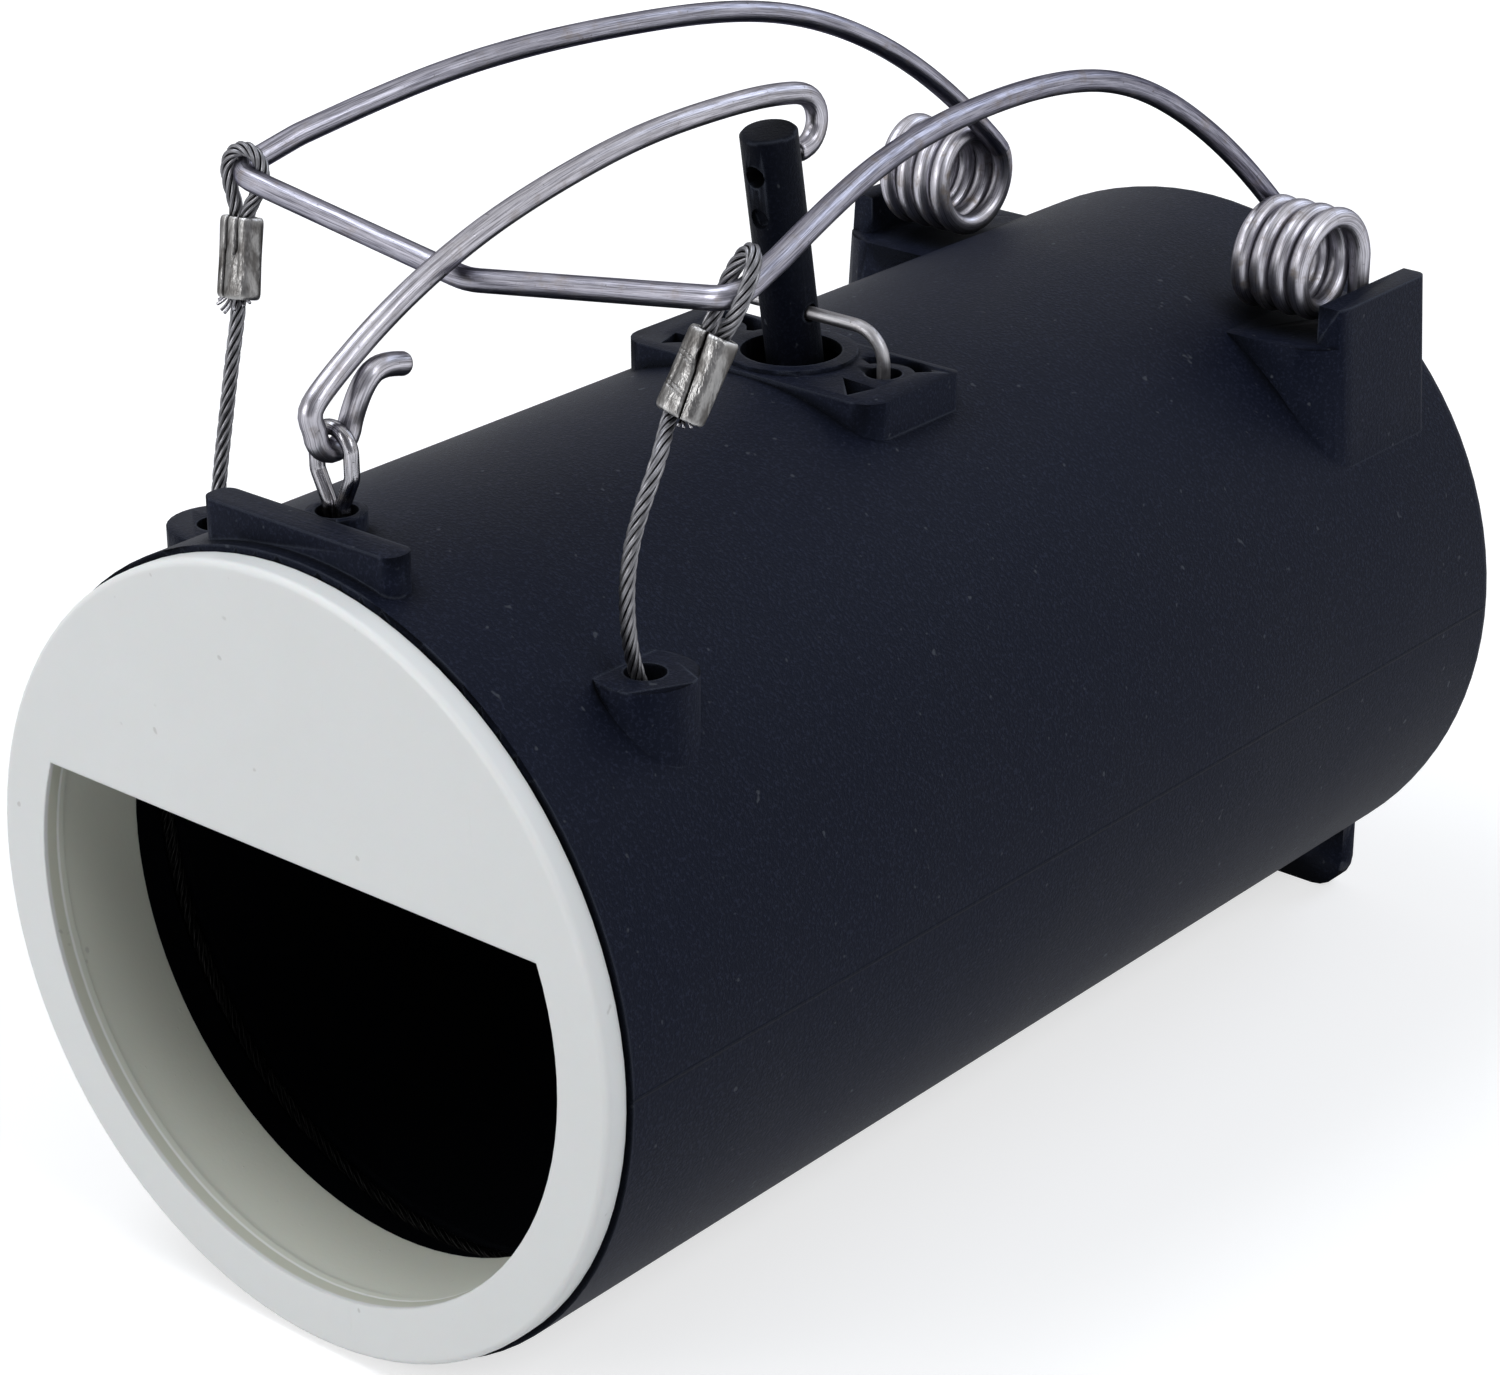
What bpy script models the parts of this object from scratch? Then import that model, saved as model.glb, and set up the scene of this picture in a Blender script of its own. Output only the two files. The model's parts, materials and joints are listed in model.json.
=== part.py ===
"""Tube snare trap for burrowing animals, modelled in its set position.

X runs across the tube, Y along it with the entrance at -Y, and Z is up.
The trap stands on Z = 0 and the origin is under the middle of its length.
A spot on the trap is given by its distance to the right of the middle, its
depth behind the entrance face and its height above the tube's axis.
"""
import math

import bmesh
import bpy
import numpy as np
from mathutils import Matrix, Vector

# Clearance between pieces that touch
FIT = 0.0003

# Tube, closed at the back in one moulding
TUBE_RADIUS = 0.04125
TUBE_LENGTH = 0.1508
TUBE_WALL = 0.0030
REAR_WALL = 0.0026
REAR_ROUND = 0.0020
VENT_RADIUS = 0.0050
TUBE_STEPS = 96

# Entrance ring
FLANGE_THICKNESS = 0.0025
FLANGE_INSET = 0.0006
FLANGE_ROUND = 0.0007
SLEEVE_WALL = 0.0031
SLEEVE_END = 0.0123
OPENING_STEP = 0.00025
OPENING_TOP = 0.0120

# Foot across the back end
FOOT_HALF_WIDTH = 0.0253
FOOT_THICKNESS = 0.0026
FOOT_ROUND = 0.0040

# Wires and cable, by radius
SPRING_WIRE = 0.00115
EYE_WIRE = 0.00075
STAPLE_WIRE = 0.0007
CABLE = 0.00075

# Pad with the trigger's hole
PAD_RISE = 0.00035
PAD_HALF_WIDTH = 0.0169
PAD_AHEAD = 0.0011
PAD_HALF_LENGTH = 0.0073
PAD_ROUND = 0.0030
TRIGGER_HOLE = 0.0053
TRIGGER_HOLE_AHEAD = 0.0006
TRIGGER_RELIEF_DROP = 0.0008
TRIGGER_LIP = 0.0017
TRIGGER_LIP_RISE = 0.00045
POCKET_DROP = 0.0022

# Trigger post and the staple that it tilts on
POST_RADIUS = 0.0030
POST_DEPTH = 0.0750
POST_LEAN = math.radians(9.6)
POST_TILT = math.radians(5.0)
POST_ABOVE = 0.0198
POST_BELOW = 0.0560
POST_CHAMFER = 0.0003
PIVOT_RISE = 0.0050
LATCH_HOLE = 0.0012
LATCH_HOLE_ABOVE = 0.0158
DIMPLE_RADIUS = 0.0011
DIMPLE_ABOVE = 0.0112
DIMPLE_DEPTH = 0.0007
STAPLE_HALF_SPAN = 0.0112
STAPLE_LEG_OFFSET = 0.0006
STAPLE_HOLE = 0.0019
STAPLE_BEND = 0.0033
STAPLE_LEAN = 0.0005
CLINCH_LENGTH = 0.0030

# Stop bar, and the boss and eye behind it; the latch's parts sit left of the middle
LATCH_SIDE = -0.0008
BAR_RISE = 0.0023
BAR_HALF_WIDTH = 0.0124
BAR_DEPTH = 0.0044
BAR_THICKNESS = 0.0035
EYE_DEPTH = 0.0100
EYE_BOSS = 0.0029
EYE_HALF_WIDTH = 0.00225
EYE_HEIGHT = 0.0081
EYE_TAPER = 0.0045

# Cable bosses on the shoulders of the tube
CABLE_BOSS_ANGLE = math.radians(43.2)
CABLE_BOSS_DEPTH = 0.0197
CABLE_BOSS_RADIUS = 0.0050
CABLE_BOSS_RISE = 0.0022
CABLE_HOLE = 0.0020
GROOVE_DEPTH = 0.0017
GROOVE_HALF_WIDTH = 0.0015

# Torsion spring
COIL_SETBACK = 0.0193
COIL_START = 0.0193
COIL_RADIUS = 0.0052
COIL_PITCH = 0.00245
COIL_TURNS = 4
COIL_LEAD = math.radians(36.0)
LEG_LENGTH = 0.0150
CORNER_X = 0.0320
CORNER_DEPTH = 0.0280
CORNER_RISE = 0.02495
CORNER_BEND = 0.0022
ARM_RISE = 0.00465
VERTEX_FORWARD = 0.0008
VERTEX_DROP = 0.0047
VERTEX_BEND = 0.0060

# Brackets that hold the coils
SADDLE_GAP = 0.0010
SADDLE_FORWARD = 0.0080
SADDLE_BACK = 0.0122
BRACKET_WALL = 0.0030
BRACKET_WALL_RISE = 0.0043
BRACKET_WALL_START = 0.0030
BRACKET_FLARE = 0.0013
BRACKET_ROUND = 0.0050
BRACKET_REAR_ROUND = 0.0012

# Crimped sleeves on the cable ends
LOOP_REACH = {"right": 0.0002, "left": 0.0006}
LOOP_TURN = {"right": math.radians(22), "left": 0.0}
LOOP_RISE = {"right": 0.0040, "left": 0.0023}
LOOP_DROP = {"right": 0.0046, "left": 0.0060}
LOOP_SPREAD = 0.0009
FERRULE_LENGTH = 0.0080
FERRULE_WIDTH = 0.0050
FERRULE_THICKNESS = 0.0032
FERRULE_WALL = 0.0005
FERRULE_INWARD = {"right": 0.24, "left": 0.11}
FERRULE_FORWARD = {"right": 0.52, "left": 0.24}

# Worked out from the sizes above
BORE_RADIUS = TUBE_RADIUS - TUBE_WALL
PAD_DEPTH = POST_DEPTH - PAD_AHEAD
TRIGGER_HOLE_DEPTH = POST_DEPTH - TRIGGER_HOLE_AHEAD
TUBE_FRONT = FLANGE_THICKNESS + FIT
PIVOT_HEIGHT = TUBE_RADIUS + PIVOT_RISE
PAD_TOP = TUBE_RADIUS + PAD_RISE
BAR_TOP = TUBE_RADIUS + BAR_RISE
EYE_TOP = BAR_TOP + EYE_HEIGHT
CORNER_HEIGHT = TUBE_RADIUS + CORNER_RISE
CABLE_BOSS_X = TUBE_RADIUS * math.sin(CABLE_BOSS_ANGLE)
CABLE_BOSS_TOP = TUBE_RADIUS * math.cos(CABLE_BOSS_ANGLE) + CABLE_BOSS_RISE
NOOSE_RADIUS = BORE_RADIUS + GROOVE_DEPTH - FIT - CABLE
COIL_DEPTH = TUBE_LENGTH - COIL_SETBACK
COIL_CLEAR_X = COIL_START + COIL_PITCH * (0.25 + COIL_LEAD / (2 * math.pi))
COIL_HEIGHT = math.sqrt((TUBE_RADIUS + FIT + SPRING_WIRE) ** 2 - COIL_CLEAR_X ** 2) + COIL_RADIUS
COIL_END = COIL_START + COIL_PITCH * (COIL_TURNS + COIL_LEAD / (2 * math.pi))
SADDLE_HEIGHT = COIL_HEIGHT - COIL_RADIUS - SPRING_WIRE - SADDLE_GAP
BRACKET_INSIDE = COIL_END + SPRING_WIRE + FIT
BRACKET_OUTSIDE = BRACKET_INSIDE + BRACKET_WALL

BLACK = (0.016, 0.019, 0.027, 1.0)
WHITE = (0.66, 0.67, 0.62, 1.0)
STEEL = (0.46, 0.45, 0.45, 1.0)
GALVANISED = (0.36, 0.36, 0.34, 1.0)
TINNED = (0.52, 0.51, 0.48, 1.0)


def clear_scene():
    """Remove every object of the scene."""
    for obj in list(bpy.data.objects):
        bpy.data.objects.remove(obj, do_unlink=True)


def make_collection(name):
    """A collection linked to the scene."""
    collection = bpy.data.collections.new(name)
    bpy.context.scene.collection.children.link(collection)
    return collection


def make_material(name, colour, roughness, metallic=0.0):
    """A Principled material of one colour."""
    material = bpy.data.materials.new(name)
    material.use_nodes = True
    shader = material.node_tree.nodes["Principled BSDF"]
    shader.inputs["Base Color"].default_value = colour
    shader.inputs["Roughness"].default_value = roughness
    shader.inputs["Metallic"].default_value = metallic
    material.diffuse_color = colour
    return material


def spot(x, depth, height):
    """World position from the distance right, the depth and the height."""
    return Vector((x, depth - TUBE_LENGTH / 2, TUBE_RADIUS + height))


def link(obj, collection, material=None):
    """Put an object in its collection and give it its material."""
    collection.objects.link(obj)
    if material is not None:
        obj.data.materials.clear()
        obj.data.materials.append(material)
    if obj.type == "MESH":
        obj.data.shade_smooth()
        obj.data.set_sharp_from_angle(angle=math.radians(35))
    return obj


def make_cutter(obj):
    """Mark an object as a tool that isn't part of the trap."""
    obj.hide_render = True
    obj.display_type = "WIRE"
    return obj


def combine(target, tool, operation):
    """Join a tool to the target, or cut it away."""
    modifier = target.modifiers.new(tool.name, "BOOLEAN")
    modifier.operation = operation
    modifier.solver = "EXACT"
    modifier.object = make_cutter(tool)


def combine_group(target, name, group, operation):
    """Join a group of tools to the target, or cut them away, in one step."""
    held = make_collection(name)
    for tool in group:
        held.objects.link(make_cutter(tool))
    modifier = target.modifiers.new(name, "BOOLEAN")
    modifier.operation = operation
    modifier.solver = "EXACT"
    modifier.operand_type = "COLLECTION"
    modifier.collection = held


def meshed(guide, name):
    """The mesh that a curve object makes, with its caps welded on."""
    bpy.context.view_layer.update()
    depsgraph = bpy.context.evaluated_depsgraph_get()
    mesh = bpy.data.meshes.new_from_object(guide.evaluated_get(depsgraph))
    mesh.name = name
    shell = bmesh.new()
    shell.from_mesh(mesh)
    bmesh.ops.remove_doubles(shell, verts=shell.verts, dist=1e-6)
    bmesh.ops.recalc_face_normals(shell, faces=shell.faces)
    shell.to_mesh(mesh)
    shell.free()
    obj = bpy.data.objects.new(name, mesh)
    obj.matrix_world = guide.matrix_world.copy()
    bpy.data.objects.remove(guide, do_unlink=True)
    return obj


def arc(centre, radius, start, end, steps):
    """Points of a circular arc between two angles in degrees."""
    angles = np.radians(np.linspace(start, end, steps + 1))
    return [(centre[0] + radius * math.cos(a), centre[1] + radius * math.sin(a)) for a in angles]


def rounded_box(low, high, rounds, steps=5):
    """Outline of a rectangle, corners rounded from low-low and anticlockwise."""
    corners = ((low[0], low[1], 1, 1, 180), (high[0], low[1], -1, 1, 270),
               (high[0], high[1], -1, -1, 0), (low[0], high[1], 1, -1, 90))
    outline = []
    for (x, y, towards_x, towards_y, start), radius in zip(corners, rounds):
        if radius == 0:
            outline.append((x, y))
            continue
        centre = (x + towards_x * radius, y + towards_y * radius)
        outline += arc(centre, radius, start, start + 90, steps)
    return outline


def flat_curve(name, outlines, thickness):
    """A filled flat curve of one or more outlines, with a thickness."""
    curve = bpy.data.curves.new(name, "CURVE")
    curve.dimensions = "2D"
    curve.fill_mode = "BOTH"
    curve.extrude = thickness / 2
    for outline in outlines:
        spline = curve.splines.new("POLY")
        spline.points.add(len(outline) - 1)
        for point, (x, y) in zip(spline.points, outline):
            point.co = (x, y, 0, 1)
        spline.use_cyclic_u = True
    return curve


def slab(name, outline, low, high, collection):
    """A plan outline in (x, depth), extruded between two heights."""
    guide = bpy.data.objects.new(name + "_outline", flat_curve(name, [outline], high - low))
    bpy.context.scene.collection.objects.link(guide)
    guide.location = spot(0, 0, (low + high) / 2)
    return link(meshed(guide, name), collection)


def plate(name, outline, front, back, collection):
    """A front outline in (x, height), extruded between two depths."""
    guide = bpy.data.objects.new(name + "_outline", flat_curve(name, [outline], back - front))
    bpy.context.scene.collection.objects.link(guide)
    guide.location = spot(0, (front + back) / 2, 0)
    guide.rotation_euler = (math.pi / 2, 0, 0)
    return link(meshed(guide, name), collection)


def rod(name, radius, start, end, collection, steps=32):
    """A round bar between two spots."""
    shell = bmesh.new()
    bmesh.ops.create_cone(shell, cap_ends=True, segments=steps, radius1=radius,
                          radius2=radius, depth=(end - start).length)
    mesh = bpy.data.meshes.new(name)
    shell.to_mesh(mesh)
    shell.free()
    obj = bpy.data.objects.new(name, mesh)
    obj.location = (start + end) / 2
    obj.rotation_euler = (end - start).to_track_quat("Z", "X").to_euler()
    return link(obj, collection)


def turned(name, profile, steps, collection, closed=False):
    """A profile of (radius, distance) turned about its own Z axis."""
    count = len(profile)
    edges = [(i, i + 1) for i in range(count - 1)]
    if closed:
        edges.append((count - 1, 0))
    mesh = bpy.data.meshes.new(name)
    mesh.from_pydata([(radius, 0, distance) for radius, distance in profile], edges, [])
    obj = bpy.data.objects.new(name, mesh)
    screw = obj.modifiers.new("turn", "SCREW")
    screw.steps = steps
    screw.render_steps = steps
    screw.use_merge_vertices = True
    screw.merge_threshold = 1e-6
    weld = obj.modifiers.new("weld", "WELD")
    weld.merge_threshold = 1e-6
    return link(obj, collection)


def along_tube(obj):
    """Lay a turned piece on the tube's axis, with a flat facet downwards."""
    obj.rotation_euler = (-math.pi / 2, math.pi / TUBE_STEPS, 0)
    obj.location = spot(0, 0, 0)
    return obj


def smooth_route(points, spacing):
    """Points at an even spacing along the natural cubic through some points."""
    knots = np.array([tuple(p) for p in points])
    gaps = np.linalg.norm(np.diff(knots, axis=0), axis=1)
    along = np.concatenate([[0], np.cumsum(gaps)])
    count = len(knots)
    system = np.eye(count)
    right = np.zeros((count, 3))
    for i in range(1, count - 1):
        system[i, i - 1:i + 2] = (gaps[i - 1], 2 * (gaps[i - 1] + gaps[i]), gaps[i])
        right[i] = 6 * ((knots[i + 1] - knots[i]) / gaps[i] - (knots[i] - knots[i - 1]) / gaps[i - 1])
    bend = np.linalg.solve(system, right)
    steps = max(2, round(along[-1] / spacing))
    route = []
    for s in np.linspace(0, along[-1], steps + 1):
        i = min(int(np.searchsorted(along, s, "right")) - 1, count - 2)
        gap = gaps[i]
        after = (s - along[i]) / gap
        before = 1 - after
        point = before * knots[i] + after * knots[i + 1]
        point += gap ** 2 / 6 * ((before ** 3 - before) * bend[i] + (after ** 3 - after) * bend[i + 1])
        route.append(Vector(point))
    return route


def bent_route(points, radii, steps=6):
    """A line through some points with a round bend of its own at each."""
    route = [Vector(points[0])]
    for before, point, after, radius in zip(points, points[1:], points[2:], radii):
        towards = (before - point).normalized()
        away = (after - point).normalized()
        half = towards.angle(away) / 2
        if radius == 0 or math.pi / 2 - half < 1e-3:
            route.append(Vector(point))
            continue
        centre = point + (towards + away).normalized() * radius / math.sin(half)
        start = point + towards * radius / math.tan(half) - centre
        finish = point + away * radius / math.tan(half) - centre
        sweep = start.angle(finish)
        for i in range(steps + 1):
            share = i / steps
            mix = start * math.sin((1 - share) * sweep) + finish * math.sin(share * sweep)
            route.append(centre + mix / math.sin(sweep))
    route.append(Vector(points[-1]))
    return route


def wire(name, route, radius, collection, material, origin=Vector(), sides=2):
    """A round wire along a route, with its object's origin where asked."""
    curve = bpy.data.curves.new(name, "CURVE")
    curve.dimensions = "3D"
    curve.bevel_depth = radius
    curve.bevel_resolution = sides
    curve.use_fill_caps = True
    spline = curve.splines.new("POLY")
    spline.points.add(len(route) - 1)
    for point, place in zip(spline.points, route):
        point.co = (*(place - origin), 1)
    obj = bpy.data.objects.new(name, curve)
    obj.location = origin
    return link(obj, collection, material)


def mirrored(points):
    """The same points on the other side of the trap."""
    return [Vector((-p.x, p.y, p.z)) for p in points]


def side_name(side):
    """The name of a side, 1 being the right."""
    return "right" if side > 0 else "left"


def tube_blank(parts, material):
    """Solid round bar of the tube's outside, rounded at the back edge."""
    rear = arc((TUBE_RADIUS - REAR_ROUND, TUBE_LENGTH - REAR_ROUND), REAR_ROUND, 90, 0, 4)
    profile = [(0, TUBE_LENGTH), *rear, (TUBE_RADIUS, TUBE_FRONT), (0, TUBE_FRONT)]
    blank = along_tube(turned("tube_body", profile, TUBE_STEPS, parts))
    blank.data.materials.append(material)
    return blank


def bore(tools):
    """Inside of the tube, with the groove that the noose lies in."""
    groove = BORE_RADIUS + GROOVE_DEPTH
    groove_front = CABLE_BOSS_DEPTH - GROOVE_HALF_WIDTH
    groove_back = CABLE_BOSS_DEPTH + GROOVE_HALF_WIDTH
    profile = [(0, TUBE_LENGTH - REAR_WALL), (BORE_RADIUS, TUBE_LENGTH - REAR_WALL),
               (BORE_RADIUS, groove_back), (groove, groove_back), (groove, groove_front),
               (BORE_RADIUS, groove_front), (BORE_RADIUS, 0), (0, 0)]
    return along_tube(turned("bore", profile, TUBE_STEPS, tools))


def vent(tools):
    """Round air hole in the middle of the back wall."""
    start = spot(0, TUBE_LENGTH - 2 * REAR_WALL, 0)
    return rod("vent", VENT_RADIUS, start, spot(0, TUBE_LENGTH + REAR_WALL, 0), tools)


def foot(tools):
    """Plate across the back end whose square corners stop the tube rolling."""
    outline = rounded_box((-FOOT_HALF_WIDTH, -TUBE_RADIUS), (FOOT_HALF_WIDTH, -TUBE_RADIUS / 2),
                          (FOOT_ROUND, FOOT_ROUND, 0, 0))
    back = TUBE_LENGTH - FIT
    return plate("foot", outline, back - FOOT_THICKNESS, back, tools)


def pad(tools):
    """Flat-topped pad on the crown of the tube."""
    outline = rounded_box((-PAD_HALF_WIDTH, PAD_DEPTH - PAD_HALF_LENGTH),
                          (PAD_HALF_WIDTH, PAD_DEPTH + PAD_HALF_LENGTH),
                          (PAD_ROUND, PAD_ROUND, PAD_ROUND / 3, PAD_ROUND / 3))
    return slab("pad", outline, BORE_RADIUS - TUBE_WALL, PAD_TOP, tools)


def trigger_lip(tools):
    """Raised ring round the trigger's hole."""
    return rod("trigger_lip", TRIGGER_HOLE + TRIGGER_LIP, spot(0, TRIGGER_HOLE_DEPTH, BORE_RADIUS),
               spot(0, TRIGGER_HOLE_DEPTH, PAD_TOP + TRIGGER_LIP_RISE), tools)


def trigger_holes(tools):
    """Hole for the post, let out backwards where its lower part swings."""
    floor = BORE_RADIUS - TUBE_WALL
    swing = TUBE_WALL + PIVOT_RISE
    relief = swing * math.tan(POST_LEAN + POST_TILT)
    upper = rod("trigger_hole", TRIGGER_HOLE, spot(0, TRIGGER_HOLE_DEPTH, floor),
                spot(0, TRIGGER_HOLE_DEPTH, PAD_TOP + 2 * TRIGGER_LIP_RISE), tools)
    lower = rod("trigger_relief", TRIGGER_HOLE, spot(0, TRIGGER_HOLE_DEPTH + relief, floor),
                spot(0, TRIGGER_HOLE_DEPTH + relief, PAD_TOP - TRIGGER_RELIEF_DROP), tools)
    return [upper, lower]


def pad_pockets(side, tools):
    """Cored pockets behind and before the staple's hole, and the hole itself."""
    leg_depth = POST_DEPTH + STAPLE_LEG_OFFSET
    centre = (side * STAPLE_HALF_SPAN, leg_depth)
    inner = STAPLE_HOLE + 0.0013
    outer = PAD_DEPTH + PAD_HALF_LENGTH - 0.0006 - leg_depth
    crescent = arc((0, 0), outer, 45, 155, 12) + arc((0, 0), inner, 155, 45, 12)
    crescent = [(centre[0] + side * x, centre[1] + depth) for x, depth in crescent]
    front = PAD_DEPTH - PAD_HALF_LENGTH + 0.0016
    tip = centre[0] - side * 0.0024
    edge = centre[0] + side * 0.0022
    corner = [(tip, leg_depth - inner - 0.0004), (edge, leg_depth - inner - 0.0008),
              (centre[0] + side * 0.0012, front)]
    floor = PAD_TOP - POCKET_DROP
    name = side_name(side)
    return [slab("crescent_pocket_" + name, crescent, floor, PAD_TOP + POCKET_DROP, tools),
            slab("corner_pocket_" + name, corner, floor, PAD_TOP + POCKET_DROP, tools),
            rod("staple_hole_" + name, STAPLE_HOLE, spot(*centre, BORE_RADIUS * 0.8),
                spot(*centre, PAD_TOP + POCKET_DROP), tools)]


def stop_bar(tools):
    """Bar across the crown, just behind the entrance."""
    outline = rounded_box((LATCH_SIDE - BAR_HALF_WIDTH, BAR_DEPTH),
                          (LATCH_SIDE + BAR_HALF_WIDTH, BAR_DEPTH + BAR_THICKNESS),
                          (BAR_THICKNESS * 0.4,) * 4)
    return slab("stop_bar", outline, BORE_RADIUS - TUBE_WALL, BAR_TOP, tools)


def eye_boss(tools):
    """Round boss behind the bar that the eye's legs go down through."""
    return rod("eye_boss", EYE_BOSS, spot(LATCH_SIDE, EYE_DEPTH, BORE_RADIUS),
               spot(LATCH_SIDE, EYE_DEPTH, BAR_TOP), tools)


def eye_hole(tools):
    """Hole for both legs of the eye."""
    radius = 2 * EYE_WIRE + 1.8 * FIT
    return rod("eye_hole", radius, spot(LATCH_SIDE, EYE_DEPTH, BORE_RADIUS * 0.8),
               spot(LATCH_SIDE, EYE_DEPTH, BAR_TOP + EYE_BOSS), tools)


def cable_boss(side, tools):
    """Upright round boss on the shoulder, which runs out on the tube's side."""
    low = math.sqrt(TUBE_RADIUS ** 2 - (CABLE_BOSS_X + CABLE_BOSS_RADIUS) ** 2) - TUBE_WALL
    x = side * CABLE_BOSS_X
    return rod("cable_boss_" + side_name(side), CABLE_BOSS_RADIUS, spot(x, CABLE_BOSS_DEPTH, low),
               spot(x, CABLE_BOSS_DEPTH, CABLE_BOSS_TOP), tools)


def cable_hole(side, tools):
    """Upright hole that leads the cable down into the groove."""
    x = side * CABLE_BOSS_X
    return rod("cable_hole_" + side_name(side), CABLE_HOLE, spot(x, CABLE_BOSS_DEPTH, 0.8 * CABLE_BOSS_TOP * 0.9),
               spot(x, CABLE_BOSS_DEPTH, CABLE_BOSS_TOP + CABLE_BOSS_RADIUS), tools)


def bracket(side, tools):
    """Saddle for a coil with an upright wall outside it."""
    inner = COIL_START - 2 * SPRING_WIRE
    front = COIL_DEPTH - SADDLE_FORWARD
    back = COIL_DEPTH + SADDLE_BACK
    wall_top = SADDLE_HEIGHT + BRACKET_WALL_RISE
    low = math.sqrt(TUBE_RADIUS ** 2 - BRACKET_OUTSIDE ** 2) - TUBE_WALL
    block = rounded_box((inner, front), (BRACKET_OUTSIDE, back),
                        (0, BRACKET_ROUND, BRACKET_REAR_ROUND, 0), 6)
    outside = BRACKET_OUTSIDE + BRACKET_WALL
    wall_start = front + BRACKET_WALL_START
    saddle = [(inner - BRACKET_WALL, front - BRACKET_WALL), (outside, front - BRACKET_WALL),
              (outside, wall_start), (BRACKET_INSIDE, wall_start),
              (BRACKET_INSIDE, back + BRACKET_WALL), (inner - BRACKET_WALL, back + BRACKET_WALL)]
    outlines = [[(side * x, depth) for x, depth in shape] for shape in (block, saddle)]
    name = side_name(side)
    body = slab("bracket_" + name, outlines[0], low, wall_top, tools)
    for corner in body.data.vertices:
        if corner.co.z < 0:
            corner.co.x += side * BRACKET_FLARE
    seat = slab("saddle_" + name, outlines[1], SADDLE_HEIGHT, wall_top + BRACKET_WALL, tools)
    combine(body, seat, "DIFFERENCE")
    return body


def leg_hole(side, tools):
    """Blind hole in the saddle for the spring's leg."""
    x = side * COIL_END
    depth = COIL_DEPTH + COIL_RADIUS
    bottom = COIL_HEIGHT - LEG_LENGTH - 2 * FIT
    return rod("leg_hole_" + side_name(side), SPRING_WIRE + FIT, spot(x, depth, bottom),
               spot(x, depth, SADDLE_HEIGHT + SADDLE_GAP), tools, 16)


def tube_body(parts, tools, material):
    """The tube in one moulding, with everything that stands on it."""
    body = tube_blank(parts, material)
    joined = [foot(tools), pad(tools), trigger_lip(tools), stop_bar(tools), eye_boss(tools)]
    cuts = [bore(tools), vent(tools), eye_hole(tools), *trigger_holes(tools)]
    for side in (1, -1):
        joined += [cable_boss(side, tools), bracket(side, tools)]
        cuts += [cable_hole(side, tools), leg_hole(side, tools), *pad_pockets(side, tools)]
    combine_group(body, "tube_additions", joined, "UNION")
    combine_group(body, "tube_cuts", cuts, "DIFFERENCE")
    return body


def front_ring(parts, tools, material):
    """Entrance ring: a flange over the tube's end and a sleeve inside it."""
    edge = TUBE_RADIUS - FLANGE_INSET
    outside = BORE_RADIUS - FIT
    inside = outside - SLEEVE_WALL
    rim = arc((edge - FLANGE_ROUND, FLANGE_ROUND), FLANGE_ROUND, 0, -90, 4)
    profile = [(inside, FLANGE_THICKNESS), (inside, SLEEVE_END), (outside, SLEEVE_END),
               (outside, FLANGE_THICKNESS), (edge, FLANGE_THICKNESS), *rim, (0, 0), (0, FLANGE_THICKNESS)]
    ring = along_tube(turned("front_ring", profile, TUBE_STEPS, parts, closed=True))
    ring.data.materials.append(material)
    combine(ring, ring_opening(inside, tools), "DIFFERENCE")
    return ring


def ring_opening(inside, tools):
    """The entrance: a circle with its top cut off flat."""
    radius = inside - OPENING_STEP
    start = math.degrees(math.asin(OPENING_TOP / radius))
    outline = arc((0, 0), radius, start, -180 - start, 60)
    return plate("entrance", outline, -FLANGE_THICKNESS, 1.5 * FLANGE_THICKNESS, tools)


def trigger_post(parts, tools, material):
    """Round post hung on the staple, its lower end in the animal's way."""
    profile = [(0, POST_ABOVE), (POST_RADIUS - POST_CHAMFER, POST_ABOVE),
               (POST_RADIUS, POST_ABOVE - POST_CHAMFER), (POST_RADIUS, POST_RADIUS - POST_BELOW)]
    tip = arc((0, POST_RADIUS - POST_BELOW), POST_RADIUS, 0, -90, 5)
    tip[-1] = (0, -POST_BELOW)
    post = turned("trigger_post", profile + tip[1:], 32, parts)
    post.data.materials.append(material)
    pivot = spot(LATCH_SIDE, POST_DEPTH, PIVOT_HEIGHT)
    post.location = pivot
    post.rotation_euler = (POST_LEAN, 0, 0)
    lean = Matrix.Rotation(POST_LEAN, 3, "X")
    across = Vector((2 * POST_RADIUS, 0, 0))
    combine(post, rod("pivot_hole", STAPLE_WIRE + FIT, pivot - across, pivot + across, tools, 16), "DIFFERENCE")
    back = lean @ Vector((0, 2 * POST_RADIUS, 0))
    height = pivot + lean @ Vector((0, 0, LATCH_HOLE_ABOVE))
    combine(post, rod("latch_hole", LATCH_HOLE, height - back, height + back, tools, 16), "DIFFERENCE")
    face = pivot + lean @ Vector((0, DIMPLE_DEPTH - POST_RADIUS, DIMPLE_ABOVE))
    combine(post, rod("dimple", DIMPLE_RADIUS, face - back, face, tools, 16), "DIFFERENCE")
    return post


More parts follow.
